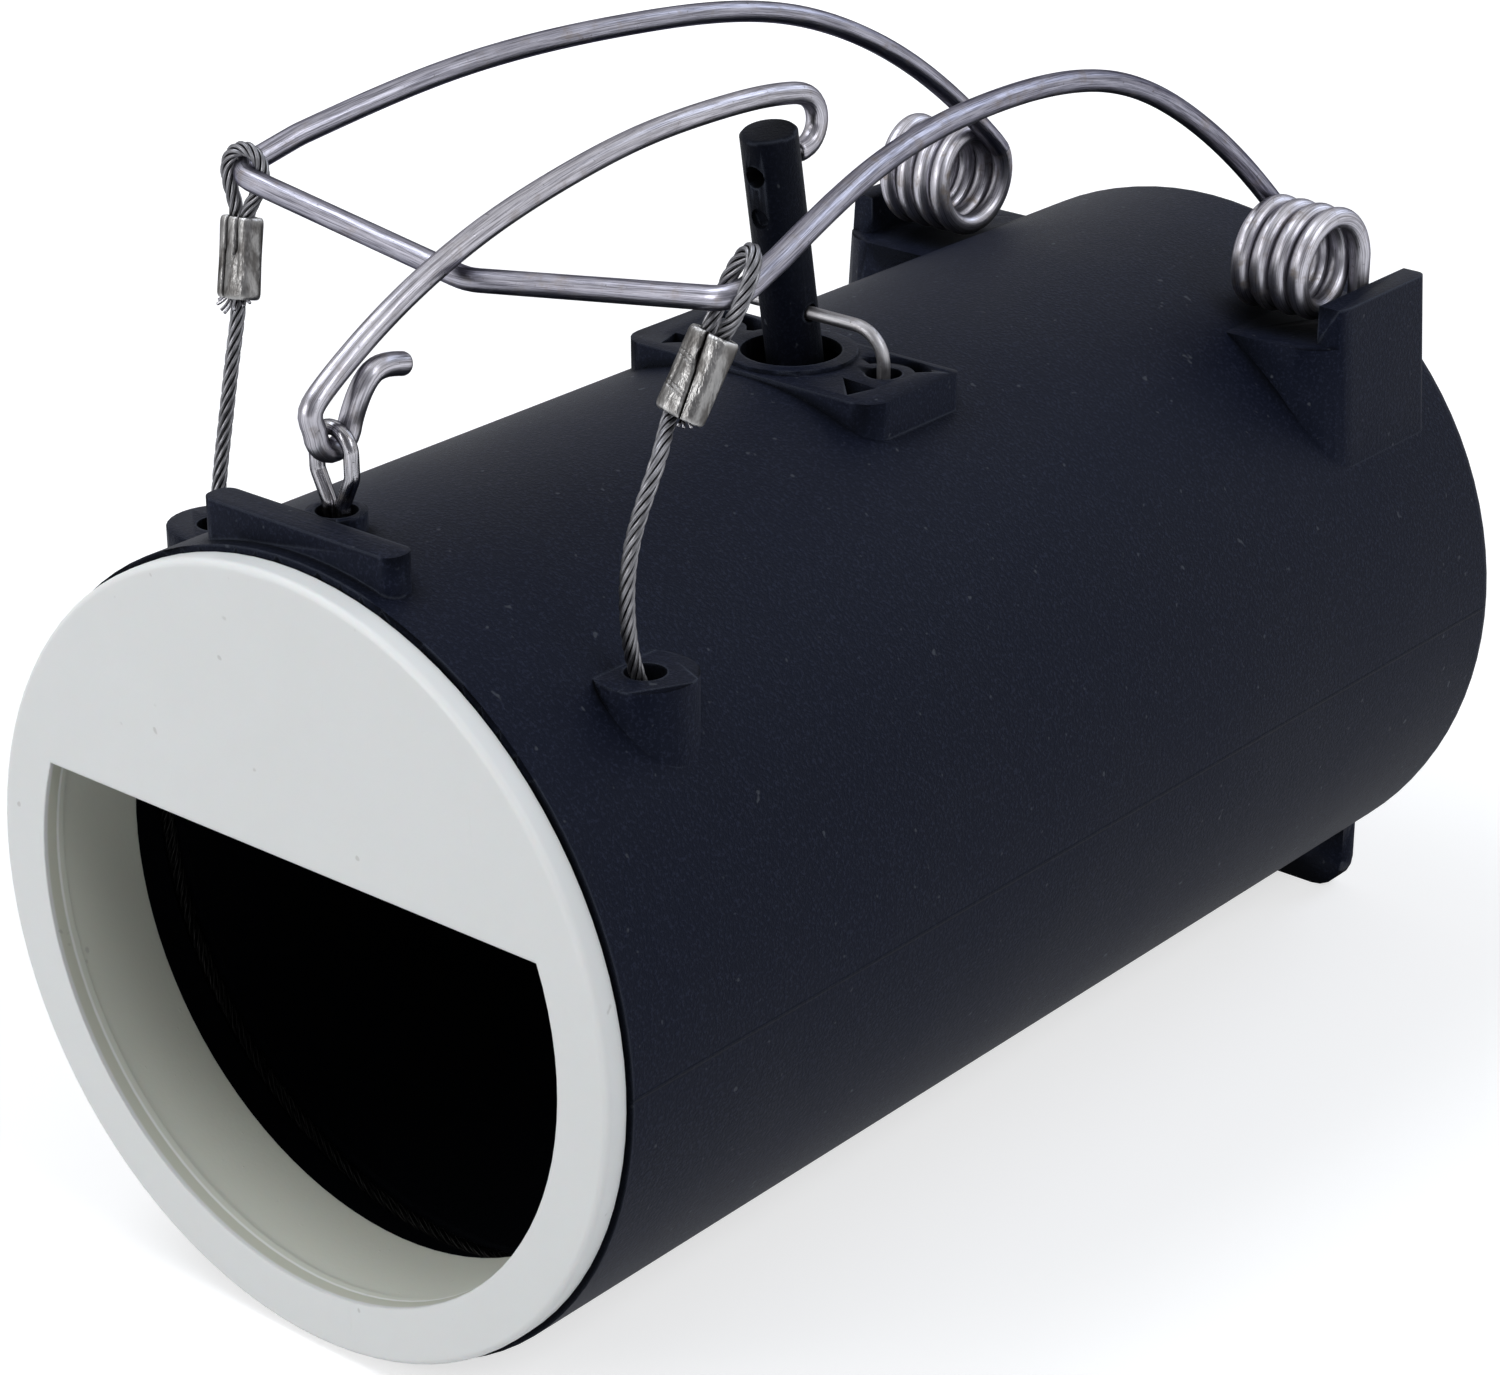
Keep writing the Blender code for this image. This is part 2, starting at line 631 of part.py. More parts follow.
def pivot_staple(parts, material):
    """Wire staple through the post, its legs clinched under the tube wall."""
    leg_depth = POST_DEPTH + STAPLE_LEG_OFFSET
    clinch = math.sqrt(BORE_RADIUS ** 2 - STAPLE_HALF_SPAN ** 2) - FIT - 2 * STAPLE_WIRE
    half = [spot(STAPLE_HALF_SPAN - CLINCH_LENGTH, leg_depth, clinch),
            spot(STAPLE_HALF_SPAN, leg_depth, clinch),
            spot(STAPLE_HALF_SPAN, leg_depth, PAD_TOP),
            spot(STAPLE_HALF_SPAN + STAPLE_LEAN, POST_DEPTH, PIVOT_HEIGHT)]
    points = mirrored(half) + half[::-1]
    small = 1.5 * STAPLE_WIRE
    bends = (small, small, STAPLE_BEND, STAPLE_BEND, small, small)
    return wire("pivot_staple", bent_route(points, bends), STAPLE_WIRE, parts, material)


def anchor_eye(parts, material):
    """Eye of folded wire, its two legs pressed down into the boss."""
    legs = EYE_WIRE + FIT / 2
    shoulder = EYE_TOP - EYE_HALF_WIDTH
    neck = BAR_TOP + EYE_WIRE
    side = [(legs, BORE_RADIUS + FIT), (legs, neck), (EYE_HALF_WIDTH, shoulder - EYE_TAPER + EYE_HALF_WIDTH)]
    crown = arc((0, shoulder), EYE_HALF_WIDTH, 180, 0, 12)
    outline = [(-x, height) for x, height in side] + crown + side[::-1]
    points = [spot(LATCH_SIDE + x, EYE_DEPTH, height) for x, height in outline]
    bends = [EYE_WIRE * 1.5] * 2 + [0] * len(crown) + [EYE_WIRE * 1.5] * 2
    return wire("anchor_eye", bent_route(points, bends, 4), EYE_WIRE, parts, material)


def latch_arm(parts, material, axis):
    """Wire arm hooked through the eye, over the spring and down behind the post."""
    pivot = spot(LATCH_SIDE, EYE_DEPTH, EYE_TOP)
    hook = SPRING_WIRE + EYE_WIRE + FIT
    bend = [pivot + Vector((0, y, z)) for y, z in arc((0, 0), hook, -10, -180, 10)]
    tail = [pivot + Vector(step) for step in ((0.0008, 0.0088, 0.0040), (0.0006, 0.0050, 0.0040),
                                              (0.0002, 0.0026, 0.0022))]
    reach = POST_DEPTH - EYE_DEPTH
    shape = ((-0.042, 0.0018), (-0.0175, 0.0037), (0.022, 0.0054), (0.080, 0.0076), (0.155, 0.0100),
             (0.240, 0.0122), (0.317, 0.0138), (0.482, 0.0162), (0.652, 0.0177), (0.828, 0.0180),
             (1.000, 0.0172))
    arm = [pivot + Vector((0, share * reach, rise)) for share, rise in shape]
    tip = latch_tip()
    rear = [tip + Vector(step) for step in ((0, 0.0018, 0.0054), (0, 0.0030, 0.0040),
                                            (0, 0.0031, 0.0019), (0, 0.0020, 0.0005))]
    route = smooth_route(tail + bend + arm + rear + [tip], 0.0018)
    return wire("latch_arm", route, SPRING_WIRE, parts, material, axis.location)


def latch_tip():
    """Where the latch ends, just clear of the hole in the post's back."""
    lean = Matrix.Rotation(POST_LEAN, 3, "X")
    clear = POST_RADIUS + FIT + SPRING_WIRE / 2
    return spot(LATCH_SIDE, POST_DEPTH, PIVOT_HEIGHT) + lean @ Vector((0, clear, LATCH_HOLE_ABOVE))


def coil_point(turned_by, x_shift=0.0):
    """A point of the right coil, by the angle wound from the arm's end."""
    angle = COIL_LEAD - turned_by
    x = COIL_START + COIL_PITCH * turned_by / (2 * math.pi) + x_shift
    return spot(x, COIL_DEPTH + COIL_RADIUS * math.cos(angle), COIL_HEIGHT + COIL_RADIUS * math.sin(angle))


def spring_coil(side, parts, material):
    """One torsion coil, with the leg that stands in its bracket."""
    wound = COIL_LEAD + 2 * math.pi * COIL_TURNS
    first = FIT / COIL_RADIUS
    count = 24 * COIL_TURNS
    points = [coil_point(first + (wound - first) * i / count) for i in range(count + 1)]
    leg = points[-1] - Vector((0, 0, LEG_LENGTH))
    points += [points[-1].lerp(leg, share) for share in (0.33, 0.66, 1.0)]
    if side < 0:
        points = mirrored(points)
    return wire("spring_coil_" + side_name(side), points, SPRING_WIRE, parts, material)


def spring_arm():
    """Centre line of the right arm, from its coil to the corner."""
    start = coil_point(0)
    corner = spot(CORNER_X, CORNER_DEPTH, CORNER_HEIGHT)
    leave = Vector((0, -math.sin(COIL_LEAD), math.cos(COIL_LEAD)))
    shape = ((0.045, 0.0058, 0.004), (0.175, 0.0145, 0.03), (0.330, 0.0224, 0.14), (0.545, 0.0260, 0.32),
             (0.765, 0.0253, 0.62), (0.930, 0.0219, 0.90))
    reach = corner.y - start.y
    spread = corner.x - start.x
    drop = start.z - spot(0, 0, TUBE_RADIUS + ARM_RISE).z
    points = [start, start + leave * SPRING_WIRE]
    points += [start + Vector((spread * x, reach * share, rise - drop)) for share, rise, x in shape]
    return smooth_route(points, 0.003) + [corner]


def spring_vertex(corner):
    """Lowest point of the V between the two corners, above the trap's middle."""
    return Vector((0, corner.y - VERTEX_FORWARD, corner.z - VERTEX_DROP))


def spring_bail(parts, material, axis):
    """Both arms of the spring and the shallow V that joins their ends."""
    right = spring_arm()
    points = right + [spring_vertex(right[-1])] + mirrored(right)[::-1]
    bends = [0] * (len(points) - 2)
    bends[len(right) - 2] = CORNER_BEND
    bends[len(right) - 1] = VERTEX_BEND
    bends[len(right)] = CORNER_BEND
    return wire("spring_bail", bent_route(points, bends), SPRING_WIRE, parts, material, axis.location)


def loop_frame(side):
    """Middle of a cable loop, its sideways direction and the ferrule's direction."""
    name = side_name(side)
    arm = spring_arm()
    bend = bent_route([arm[-2], arm[-1], spring_vertex(arm[-1])], [CORNER_BEND])
    along = (arm[-2] - arm[-1]).normalized()
    middle = bend[1] + along * LOOP_REACH[name]
    down = Vector((-FERRULE_INWARD[name], -FERRULE_FORWARD[name], -1)).normalized()
    across = Matrix.Rotation(-LOOP_TURN[name], 3, "Z") @ Vector((along.y, -along.x, 0))
    across = (across - down * across.dot(down)).normalized()
    if side < 0:
        middle, across, down = mirrored([middle, across, down])
    return middle, across, down


def cable_loop(side, parts, material, axis):
    """Loop of the cable's end round the spring's corner, down into its ferrule."""
    middle, across, down = loop_frame(side)
    wide = 1.2 * SPRING_WIRE + CABLE + FIT
    tall = LOOP_RISE[side_name(side)]
    turn = [middle + across * wide * x - down * tall * y for x, y in arc((0, 0), 1, -15, 195, 14)]
    legs = []
    for share in (1, -1):
        neck = middle + across * share * LOOP_SPREAD + down * LOOP_DROP[side_name(side)]
        legs.append([neck + down * 1.6 * CABLE, neck])
    route = smooth_route(legs[0] + turn + legs[1][::-1], 0.001)
    return wire("cable_loop_" + side_name(side), route, CABLE, parts, material, axis.location)


def stadium(width, thickness, steps=6):
    """Outline with two straight sides and two round ends."""
    half = (width - thickness) / 2
    return arc((half, 0), thickness / 2, -90, 90, steps) + arc((-half, 0), thickness / 2, 90, 270, steps)


def ferrule(side, parts, material):
    """Crimped oval sleeve, open at both ends, that holds the cable's loop."""
    middle, across, down = loop_frame(side)
    name = "ferrule_" + side_name(side)
    outside = stadium(FERRULE_WIDTH, FERRULE_THICKNESS)
    inside = stadium(FERRULE_WIDTH - 2 * FERRULE_WALL, FERRULE_THICKNESS - 2 * FERRULE_WALL)
    guide = bpy.data.objects.new(name + "_outline", flat_curve(name, [outside, inside], FERRULE_LENGTH))
    bpy.context.scene.collection.objects.link(guide)
    centre = middle + down * (LOOP_DROP[side_name(side)] + FERRULE_LENGTH / 2)
    turn = Matrix((across, down.cross(across), down)).transposed()
    guide.matrix_world = Matrix.Translation(centre) @ turn.to_4x4()
    return link(meshed(guide, name), parts, material)


def cable_run(side, parts, material):
    """Free length of the cable from its ferrule down into the boss."""
    middle, across, down = loop_frame(side)
    x = side * CABLE_BOSS_X
    end = middle - across * LOOP_SPREAD + down * (LOOP_DROP[side_name(side)] + FERRULE_LENGTH)
    start = end - down * 0.4 * FERRULE_LENGTH
    inside = spot(x, CABLE_BOSS_DEPTH, CABLE_BOSS_TOP - 0.0025)
    if side > 0:
        mouth = spot(x - 0.0002, CABLE_BOSS_DEPTH - 0.0009, CABLE_BOSS_TOP)
        shape = ((0.0012, 0.0020, 0.0206), (0.0010, -0.0007, 0.0153), (0.0006, -0.0017, 0.0103),
                 (0.0003, -0.0014, 0.0050))
    else:
        mouth = spot(x - 0.0003, CABLE_BOSS_DEPTH + 0.0004, CABLE_BOSS_TOP)
        shape = ((-0.0014, 0.0044, 0.0153), (-0.0010, 0.0028, 0.0100), (-0.0005, 0.0012, 0.0050))
    bow = [mouth + Vector(step) for step in shape]
    route = smooth_route([start, end] + bow + [mouth, inside], 0.002)
    return wire("cable_run_" + side_name(side), route, CABLE, parts, material)


def snare_noose(parts, material):
    """Noose in the tube's groove, from one boss round the bottom to the other."""
    start = math.degrees(math.acos(CABLE_BOSS_X / NOOSE_RADIUS))
    ring = arc((0, 0), NOOSE_RADIUS, start - 6, -180 - start + 6, 60)
    top = CABLE_BOSS_TOP - 0.0025 - 2 * FIT
    entry = [(CABLE_BOSS_X, top), (CABLE_BOSS_X + 0.0001, top - 0.0015)]
    outline = entry + ring + [(-x, height) for x, height in entry[::-1]]
    points = [spot(x, CABLE_BOSS_DEPTH, height) for x, height in outline]
    return wire("snare_noose", smooth_route(points, 0.003), CABLE, parts, material)


def joint_axis(name, place, parts):
    """An empty on a joint's axis."""
    axis = bpy.data.objects.new(name, None)
    axis.location = place
    axis.empty_display_size = 0.01
    parts.objects.link(axis)
    return axis


def hang_on(axis, pieces):
    """Parent pieces to an axis without moving them."""
    bpy.context.view_layer.update()
    for piece in pieces:
        piece.parent = axis
        piece.matrix_parent_inverse = axis.matrix_world.inverted()


def build():
    """Make every piece of the trap."""
    clear_scene()
    parts = make_collection("tube_snare_trap")
    tools = make_collection("cutters")
    black = make_material("black_plastic", BLACK, 0.45)
    white = make_material("white_plastic", WHITE, 0.4)
    steel = make_material("spring_steel", STEEL, 0.35, 1.0)
    cable = make_material("wire_rope", GALVANISED, 0.5, 1.0)
    tin = make_material("ferrule_metal", TINNED, 0.35, 1.0)
    spring_axis = joint_axis("spring_axis", spot(0, COIL_DEPTH, COIL_HEIGHT), parts)
    latch_axis = joint_axis("latch_axis", spot(0, EYE_DEPTH, EYE_TOP), parts)
    tube_body(parts, tools, black)
    front_ring(parts, tools, white)
    trigger_post(parts, tools, black)
    pivot_staple(parts, steel)
    anchor_eye(parts, steel)
    snare_noose(parts, cable)
    swinging = [spring_bail(parts, steel, spring_axis)]
    for side in (1, -1):
        spring_coil(side, parts, steel)
        cable_run(side, parts, cable)
        swinging += [cable_loop(side, parts, cable, spring_axis), ferrule(side, parts, tin)]
    hang_on(spring_axis, swinging)
    hang_on(latch_axis, [latch_arm(parts, steel, latch_axis)])


build()
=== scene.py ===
import json
import math

import bmesh
import bpy
import numpy as np
from mathutils import Matrix, Vector


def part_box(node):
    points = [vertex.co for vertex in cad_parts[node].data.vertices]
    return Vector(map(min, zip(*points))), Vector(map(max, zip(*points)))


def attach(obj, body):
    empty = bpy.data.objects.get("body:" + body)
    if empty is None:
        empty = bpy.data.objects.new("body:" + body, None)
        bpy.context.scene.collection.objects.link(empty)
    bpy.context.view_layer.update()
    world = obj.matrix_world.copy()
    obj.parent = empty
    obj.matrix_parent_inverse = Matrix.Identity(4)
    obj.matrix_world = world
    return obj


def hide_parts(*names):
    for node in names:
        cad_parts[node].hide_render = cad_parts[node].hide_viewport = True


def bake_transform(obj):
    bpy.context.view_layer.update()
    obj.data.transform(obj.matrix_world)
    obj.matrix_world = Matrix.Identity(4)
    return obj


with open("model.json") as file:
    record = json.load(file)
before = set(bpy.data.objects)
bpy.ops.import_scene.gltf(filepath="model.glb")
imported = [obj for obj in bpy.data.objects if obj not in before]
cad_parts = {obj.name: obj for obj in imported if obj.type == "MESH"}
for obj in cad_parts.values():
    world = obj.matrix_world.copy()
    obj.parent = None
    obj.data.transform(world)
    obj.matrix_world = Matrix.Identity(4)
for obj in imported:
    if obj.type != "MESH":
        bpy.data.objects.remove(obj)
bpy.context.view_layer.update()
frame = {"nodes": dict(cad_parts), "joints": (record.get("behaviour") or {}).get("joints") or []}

# The tube: one dark moulding of polypropylene with its pad, stop bar, bosses,
# brackets and foot. It keeps the moulding's fine satin grain, the line where
# the two halves of the mould met, and the scuffs and dust of handling. Its
# edges carry a painted highlight, and its hollows and bore painted shade.


class Socket:
    """One output of a shader node, so that sums on it read as arithmetic."""

    def __init__(self, finish, output):
        self.finish = finish
        self.output = output

    def math(self, operation, *values):
        return self.finish.node("Math", {"operation": operation}, dict(enumerate(values)))

    def __add__(self, other):
        return self.math("ADD", self, other)

    def __sub__(self, other):
        return self.math("SUBTRACT", self, other)

    def __rsub__(self, other):
        return self.math("SUBTRACT", other, self)

    def __mul__(self, other):
        return self.math("MULTIPLY", self, other)

    def __or__(self, other):
        return self.math("MAXIMUM", self, other)

    def __abs__(self):
        return self.math("ABSOLUTE", self)

    def fraction(self):
        """What the value has past its last whole number."""
        return self.math("FRACT", self)

    __radd__ = __add__
    __rmul__ = __mul__
    __ror__ = __or__


class Finish:
    """The nodes of one material or world, added one at a time."""

    def __init__(self, holder, shader="Principled BSDF", **fixed):
        holder.use_nodes = True
        self.holder = holder
        self.tree = holder.node_tree
        self.shader = self.tree.nodes[shader]
        self.set(**fixed)

    def set(self, **sockets):
        """Give the shader's own sockets a value or a link each."""
        for name, value in sockets.items():
            socket = self.shader.inputs[name.replace("_", " ")]
            if isinstance(value, Socket):
                self.tree.links.new(value.output, socket)
            else:
                socket.default_value = value

    def node(self, kind, settings=None, sockets=None, output=0):
        """Add a node: its settings first, then a value or a link for each socket."""
        made = self.tree.nodes.new("ShaderNode" + kind)
        for name, value in (settings or {}).items():
            setattr(made, name, value)
        for key, value in (sockets or {}).items():
            if isinstance(value, Socket):
                self.tree.links.new(value.output, made.inputs[key])
            else:
                made.inputs[key].default_value = value
        return Socket(self, made.outputs[output])

    def scaled(self, at, scale):
        """A place times a scale for each axis: under one draws a pattern out that way."""
        return self.node("Mapping", {}, {"Vector": at, "Scale": scale})

    def place(self, scale=(1, 1, 1)):
        """Place in the trap's own frame, in metres, times a scale for each axis."""
        return self.scaled(self.node("TexCoord", output="Object"), scale)

    def grain(self):
        """The vector that a wire, rope or sleeve carries for its own pattern."""
        return self.node("Attribute", {"attribute_name": "grain"}, output="Vector")

    def part(self, vector, way):
        """One of a vector's parts, X, Y or Z."""
        return self.node("SeparateXYZ", {}, {0: vector}, way)

    def length(self, vector):
        """Length of a vector."""
        return self.node("VectorMath", {"operation": "LENGTH"}, {0: vector}, "Value")

    def noise(self, at, scale, detail=2.0, rough=0.5):
        """Cloudy value from 0 to 1, with about scale lumps to a unit of the place."""
        sockets = {"Vector": at, "Scale": scale, "Detail": detail, "Roughness": rough}
        return self.node("TexNoise", {}, sockets)

    def step(self, value, low, high):
        """Soft step from 0 to 1 as a value goes from low to high, which may lie below low."""
        sockets = {"Value": value, "From Min": low, "From Max": high}
        return self.node("MapRange", {"interpolation_type": "SMOOTHSTEP"}, sockets)

    def tint(self, share, first, second):
        """Colour between two others by a share."""
        return self.node("Mix", {"data_type": "RGBA"}, {0: share, 6: first, 7: second}, 2)

    def bump(self, height, distance, normal=None):
        """Surface direction raised by height times distance, on top of another."""
        sockets = {"Height": height, "Distance": distance}
        if normal is not None:
            sockets["Normal"] = normal
        return self.node("Bump", {}, sockets)

    def softened(self, radius):
        """Surface direction with its edges rounded, and how far it turns there."""
        round_edge = self.node("Bevel", {"samples": 4}, {"Radius": radius})
        both = {0: round_edge, 1: self.node("NewGeometry", output="Normal")}
        alike = self.node("VectorMath", {"operation": "DOT_PRODUCT"}, both, "Value")
        return round_edge, 1.0 - alike

    def painted_shade(self, reach, open_at, shut_at, only_local=False):
        """Zero in the open, one where walls within reach shut most of the sky out: the mask for
        painted shade.
        """
        settings = {"samples": 6, "only_local": only_local}
        sky = self.node("AmbientOcclusion", settings, {"Distance": reach}, "AO")
        return self.step(sky, open_at, shut_at)


AXIS = sum(corner.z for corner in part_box("front_ring")) / 2
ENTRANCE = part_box("front_ring")[0].y
TUBE_RADIUS = 0.04125
BORE_RADIUS = 0.03825


def from_axis(finish, at):
    """Distance of a place from the tube's axis: the length of (x, z - the axis's height)."""
    sockets = {0: at, 1: (1, 0, 1), 2: (0, 0, -AXIS)}
    return finish.length(finish.node("VectorMath", {"operation": "MULTIPLY_ADD"}, sockets))


def black_plastic(name, seam_and_bore_shade, painted_shade_scale=1.0):
    """Satin black plastic: grain, cloudy gloss, dust, scuffs, edges painted pale as a highlight,
    and painted shade in hollows.
    """
    tones = np.array([(0.0022, 0.0032, 0.0085, 1), (0.0040, 0.0056, 0.0135, 1),
                      (0.0150, 0.0180, 0.0340, 1)])
    # Painted shade: for the post, a darker copy of the same plastic scales these tones down.
    low, high, fleck = tones * (painted_shade_scale, painted_shade_scale, painted_shade_scale, 1)
    finish = Finish(bpy.data.materials.new(name), Specular_IOR_Level=0.085, Metallic=0.0,
                    Specular_Tint=(0.72, 0.81, 1.0, 1.0))
    at = finish.place()
    cloud = finish.noise(at, 45.0, 4.0, 0.6)
    grain = finish.noise(at, 2600.0, 3.0, 0.7)
    specks = finish.step(finish.noise(at, 900.0, 1.0), 0.735, 0.80)
    lengthwise = finish.noise(finish.place((1.0, 0.12, 1.0)), 650.0, 3.0, 0.7)
    scuffs = finish.step(lengthwise, 0.66, 0.80) * finish.step(cloud, 0.45, 0.62)
    round_edge, turn = finish.softened(0.00045)
    edge = finish.step(turn, 0.004, 0.10)
    painted_shade = finish.painted_shade(0.004, 0.86, 0.50)
    colour = finish.tint(cloud, low, high)
    colour = finish.tint(finish.step(grain, 0.50, 0.66) * 0.7, colour, fleck)
    colour = finish.tint(scuffs * 0.28, colour, (0.045, 0.050, 0.066, 1))
    # Painted highlight: the edges, where the rounded normal turns, are painted paler.
    colour = finish.tint(edge * 0.8, colour, (0.060, 0.068, 0.090, 1))
    colour = finish.tint(specks * 0.3, colour, (0.13, 0.14, 0.16, 1))
    # Painted shade: the plastic goes near black where nearby walls shut out the sky.
    colour = finish.tint(painted_shade * 0.95, colour, (0.0004, 0.0005, 0.0008, 1))
    normal = finish.bump(grain, 0.00009, round_edge)
    if seam_and_bore_shade:
        # Painted shade: the bore's wall is painted near black.
        bore = finish.step(from_axis(finish, at), BORE_RADIUS + 0.00155, BORE_RADIUS + 0.00035)
        colour = finish.tint(bore, colour, (0.0012, 0.0014, 0.0022, 1))
        line = 1.0 - finish.step(abs(finish.part(at, "Z") - AXIS), 0.00008, 0.00026)
        colour = finish.tint(line * 0.5, colour, (0.0045, 0.005, 0.008, 1))
        normal = finish.bump(line, 0.00010, normal)
    rough = 0.54 + cloud * 0.12 + scuffs * 0.10 + edge * 0.05 + painted_shade * 0.35
    finish.set(Base_Color=colour, Roughness=rough, Normal=normal)
    return finish.holder


def read(items, field, kind, size=1):
    """One field of all of a mesh's items, as an array."""
    values = np.empty(len(items) * size, kind)
    items.foreach_get(field, values)
    return values.reshape(-1, size) if size > 1 else values


def smoothed(name, node, radii, body, material):
    """The CAD node's own shape, its triangles joined, shaded as the round piece it is.

    A corner on a face that lies round the tube's axis, at one of some radii, points straight
    away from the axis or towards it. Others are evened by area over edges under 30 degrees.
    """
    shell = bmesh.new()
    shell.from_mesh(frame["nodes"][node].data)
    bmesh.ops.remove_doubles(shell, verts=shell.verts, dist=1e-6)
    mesh = bpy.data.meshes.new(name)
    shell.to_mesh(mesh)
    shell.free()
    mesh.shade_smooth()
    mesh.set_sharp_from_angle(angle=math.radians(30))
    mesh.materials.clear()
    mesh.materials.append(material)
    piece = bpy.data.objects.new(name, mesh)
    bpy.context.scene.collection.objects.link(piece)
    weighted = piece.modifiers.new("weighted", "WEIGHTED_NORMAL")
    weighted.mode, weighted.weight, weighted.keep_sharp = "FACE_AREA", 80, True
    evaluated = piece.evaluated_get(bpy.context.evaluated_depsgraph_get())
    corners = read(evaluated.data.corner_normals, "vector", np.float32, 3)
    piece.modifiers.clear()
    points = read(mesh.vertices, "co", np.float32, 3)[read(mesh.loops, "vertex_index", np.int32)]
    sides = read(mesh.polygons, "loop_total", np.int32)
    facing = np.repeat(read(mesh.polygons, "normal", np.float32, 3), sides, axis=0)
    away = points * (1, 0, 1) - (0, 0, AXIS)
    radius = np.linalg.norm(away, axis=1)
    away = away / np.maximum(radius, 1e-6)[:, None]
    along = (facing * away).sum(1)
    on_radius = (np.abs(radius[:, None] - np.array(radii)) < 0.00006).any(1)
    rounded = (on_radius & (np.abs(along) > 0.997))[:, None]
    corners = np.where(rounded, away * np.sign(along)[:, None], corners)
    mesh.normals_split_custom_set(corners.tolist())
    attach(piece, body)
    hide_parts(node)
    return piece


smoothed("tube", "tube_body", (TUBE_RADIUS, BORE_RADIUS), "trap",
         black_plastic("moulded_tube", seam_and_bore_shade=True))

# The entrance ring: an off-white moulding, pushed into the tube's open end
# until its flange stops on the rim. It has the faint flow marks and specks of
# a plain white plastic; its edges carry a painted highlight and its inside
# painted shade.

# radii of the flange's edge, of the sleeve outside and inside and of the opening, and the
# depth of the shelf round the opening
RING_EDGE = 0.04065
RING_SLEEVE = 0.03795
RING_INSIDE = 0.03485
RING_OPENING = 0.0346
RING_SHELF = 0.0018


def white_plastic(name):
    """Off-white plastic: cloudy tone, specks, fine scratches, soft edges painted pale as a
    highlight, and painted shade inside.

    The shelf is what shows of the inside in front of the sleeve, painted darker as shade, and the
    line is its far edge, painted pale as a highlight.
    """
    finish = Finish(bpy.data.materials.new(name), Specular_IOR_Level=0.4, Metallic=0.0,
                    Subsurface_Weight=0.06, Subsurface_Scale=0.0012)
    at = finish.place()
    cloud = finish.noise(at, 60.0, 4.0, 0.6)
    grain = finish.noise(at, 2400.0, 2.0)
    specks = finish.step(finish.noise(at, 520.0, 1.0), 0.76, 0.80)
    scratches = finish.step(finish.noise(finish.place((1.0, 1.0, 0.06)), 1400.0, 2.0), 0.70, 0.80)
    round_edge, turn = finish.softened(0.0004)
    edge = finish.step(turn, 0.02, 0.25)
    behind = finish.part(at, "Y") - ENTRANCE
    inside = finish.step(from_axis(finish, at), RING_INSIDE + 0.00045, RING_INSIDE + 0.00005)
    inside = inside * finish.step(behind, 0.0003, 0.0006)
    shelf = finish.step(behind, RING_SHELF + 0.0002, RING_SHELF)
    line = shelf * finish.step(behind, RING_SHELF - 0.0003, RING_SHELF - 0.0001)
    painted_shade = finish.painted_shade(0.0012, 0.90, 0.55, only_local=True)
    colour = finish.tint(cloud, (0.770, 0.782, 0.768, 1), (0.822, 0.834, 0.826, 1))
    # Painted shade: the inside wall is painted darker and greener.
    colour = finish.tint(inside, colour, (0.735, 0.745, 0.650, 1))
    # Painted shade: the shelf in front of the sleeve is painted darker.
    colour = finish.tint(inside * shelf * 0.45, colour, (0.50, 0.50, 0.40, 1))
    # Painted highlight: a pale line along the shelf's far edge.
    colour = finish.tint(inside * line * 0.9, colour, (0.95, 0.96, 0.92, 1))
    # Painted shade: darker where nearby walls of the ring shut out the sky.
    colour = finish.tint(painted_shade * 0.5, colour, (0.33, 0.32, 0.27, 1))
    colour = finish.tint(specks * 0.35, colour, (0.34, 0.33, 0.30, 1))
    # Painted highlight: the edges are painted paler.
    colour = finish.tint(edge * 0.4, colour, (0.88, 0.89, 0.88, 1))
    normal = finish.bump(scratches, 0.00002, finish.bump(grain, 0.000012, round_edge))
    finish.set(Base_Color=colour, Roughness=0.36 + cloud * 0.14 + scratches * 0.1, Normal=normal)
    return finish.holder


smoothed("entrance_ring", "front_ring", (RING_EDGE, RING_SLEEVE, RING_INSIDE, RING_OPENING),
         "trap", white_plastic("moulded_ring"))

# The trigger post: a round peg of the same black plastic that hangs through
# the tube on a wire staple. Its top is pierced for the latch's end. Its
# plastic is painted darker, to 0.4 of the tube's: painted shade.

smoothed("post", "trigger_post", (), "trigger",
         black_plastic("moulded_post", seam_and_bore_shade=False, painted_shade_scale=0.4))

# The staple that the post tilts on: plated wire, bent down through the pad's
# two holes and clinched under the tube's wall.

FIT = 0.0003
JOINTS = {joint["name"]: joint["pos_m"] for joint in frame["joints"]}
PIVOT = JOINTS["trigger_tilt"]
PAD_TOP = 0.0416
STAPLE_WIRE = 0.0007
STAPLE_HALF_SPAN = 0.0112
STAPLE_BEND = 0.0033
STAPLE_SETBACK = 0.0006
STAPLE_LEAN = 0.0005
CLINCH_LENGTH = 0.0030
CLINCH_BEND = 0.00105


def spot(x, depth, height):
    """Point right of the middle, behind the entrance and above the tube's axis."""
    return np.array([x, ENTRANCE + depth, AXIS + height])


def unit(vectors):
    """Each vector divided by its own length."""
    return vectors / np.linalg.norm(vectors, axis=-1, keepdims=True)


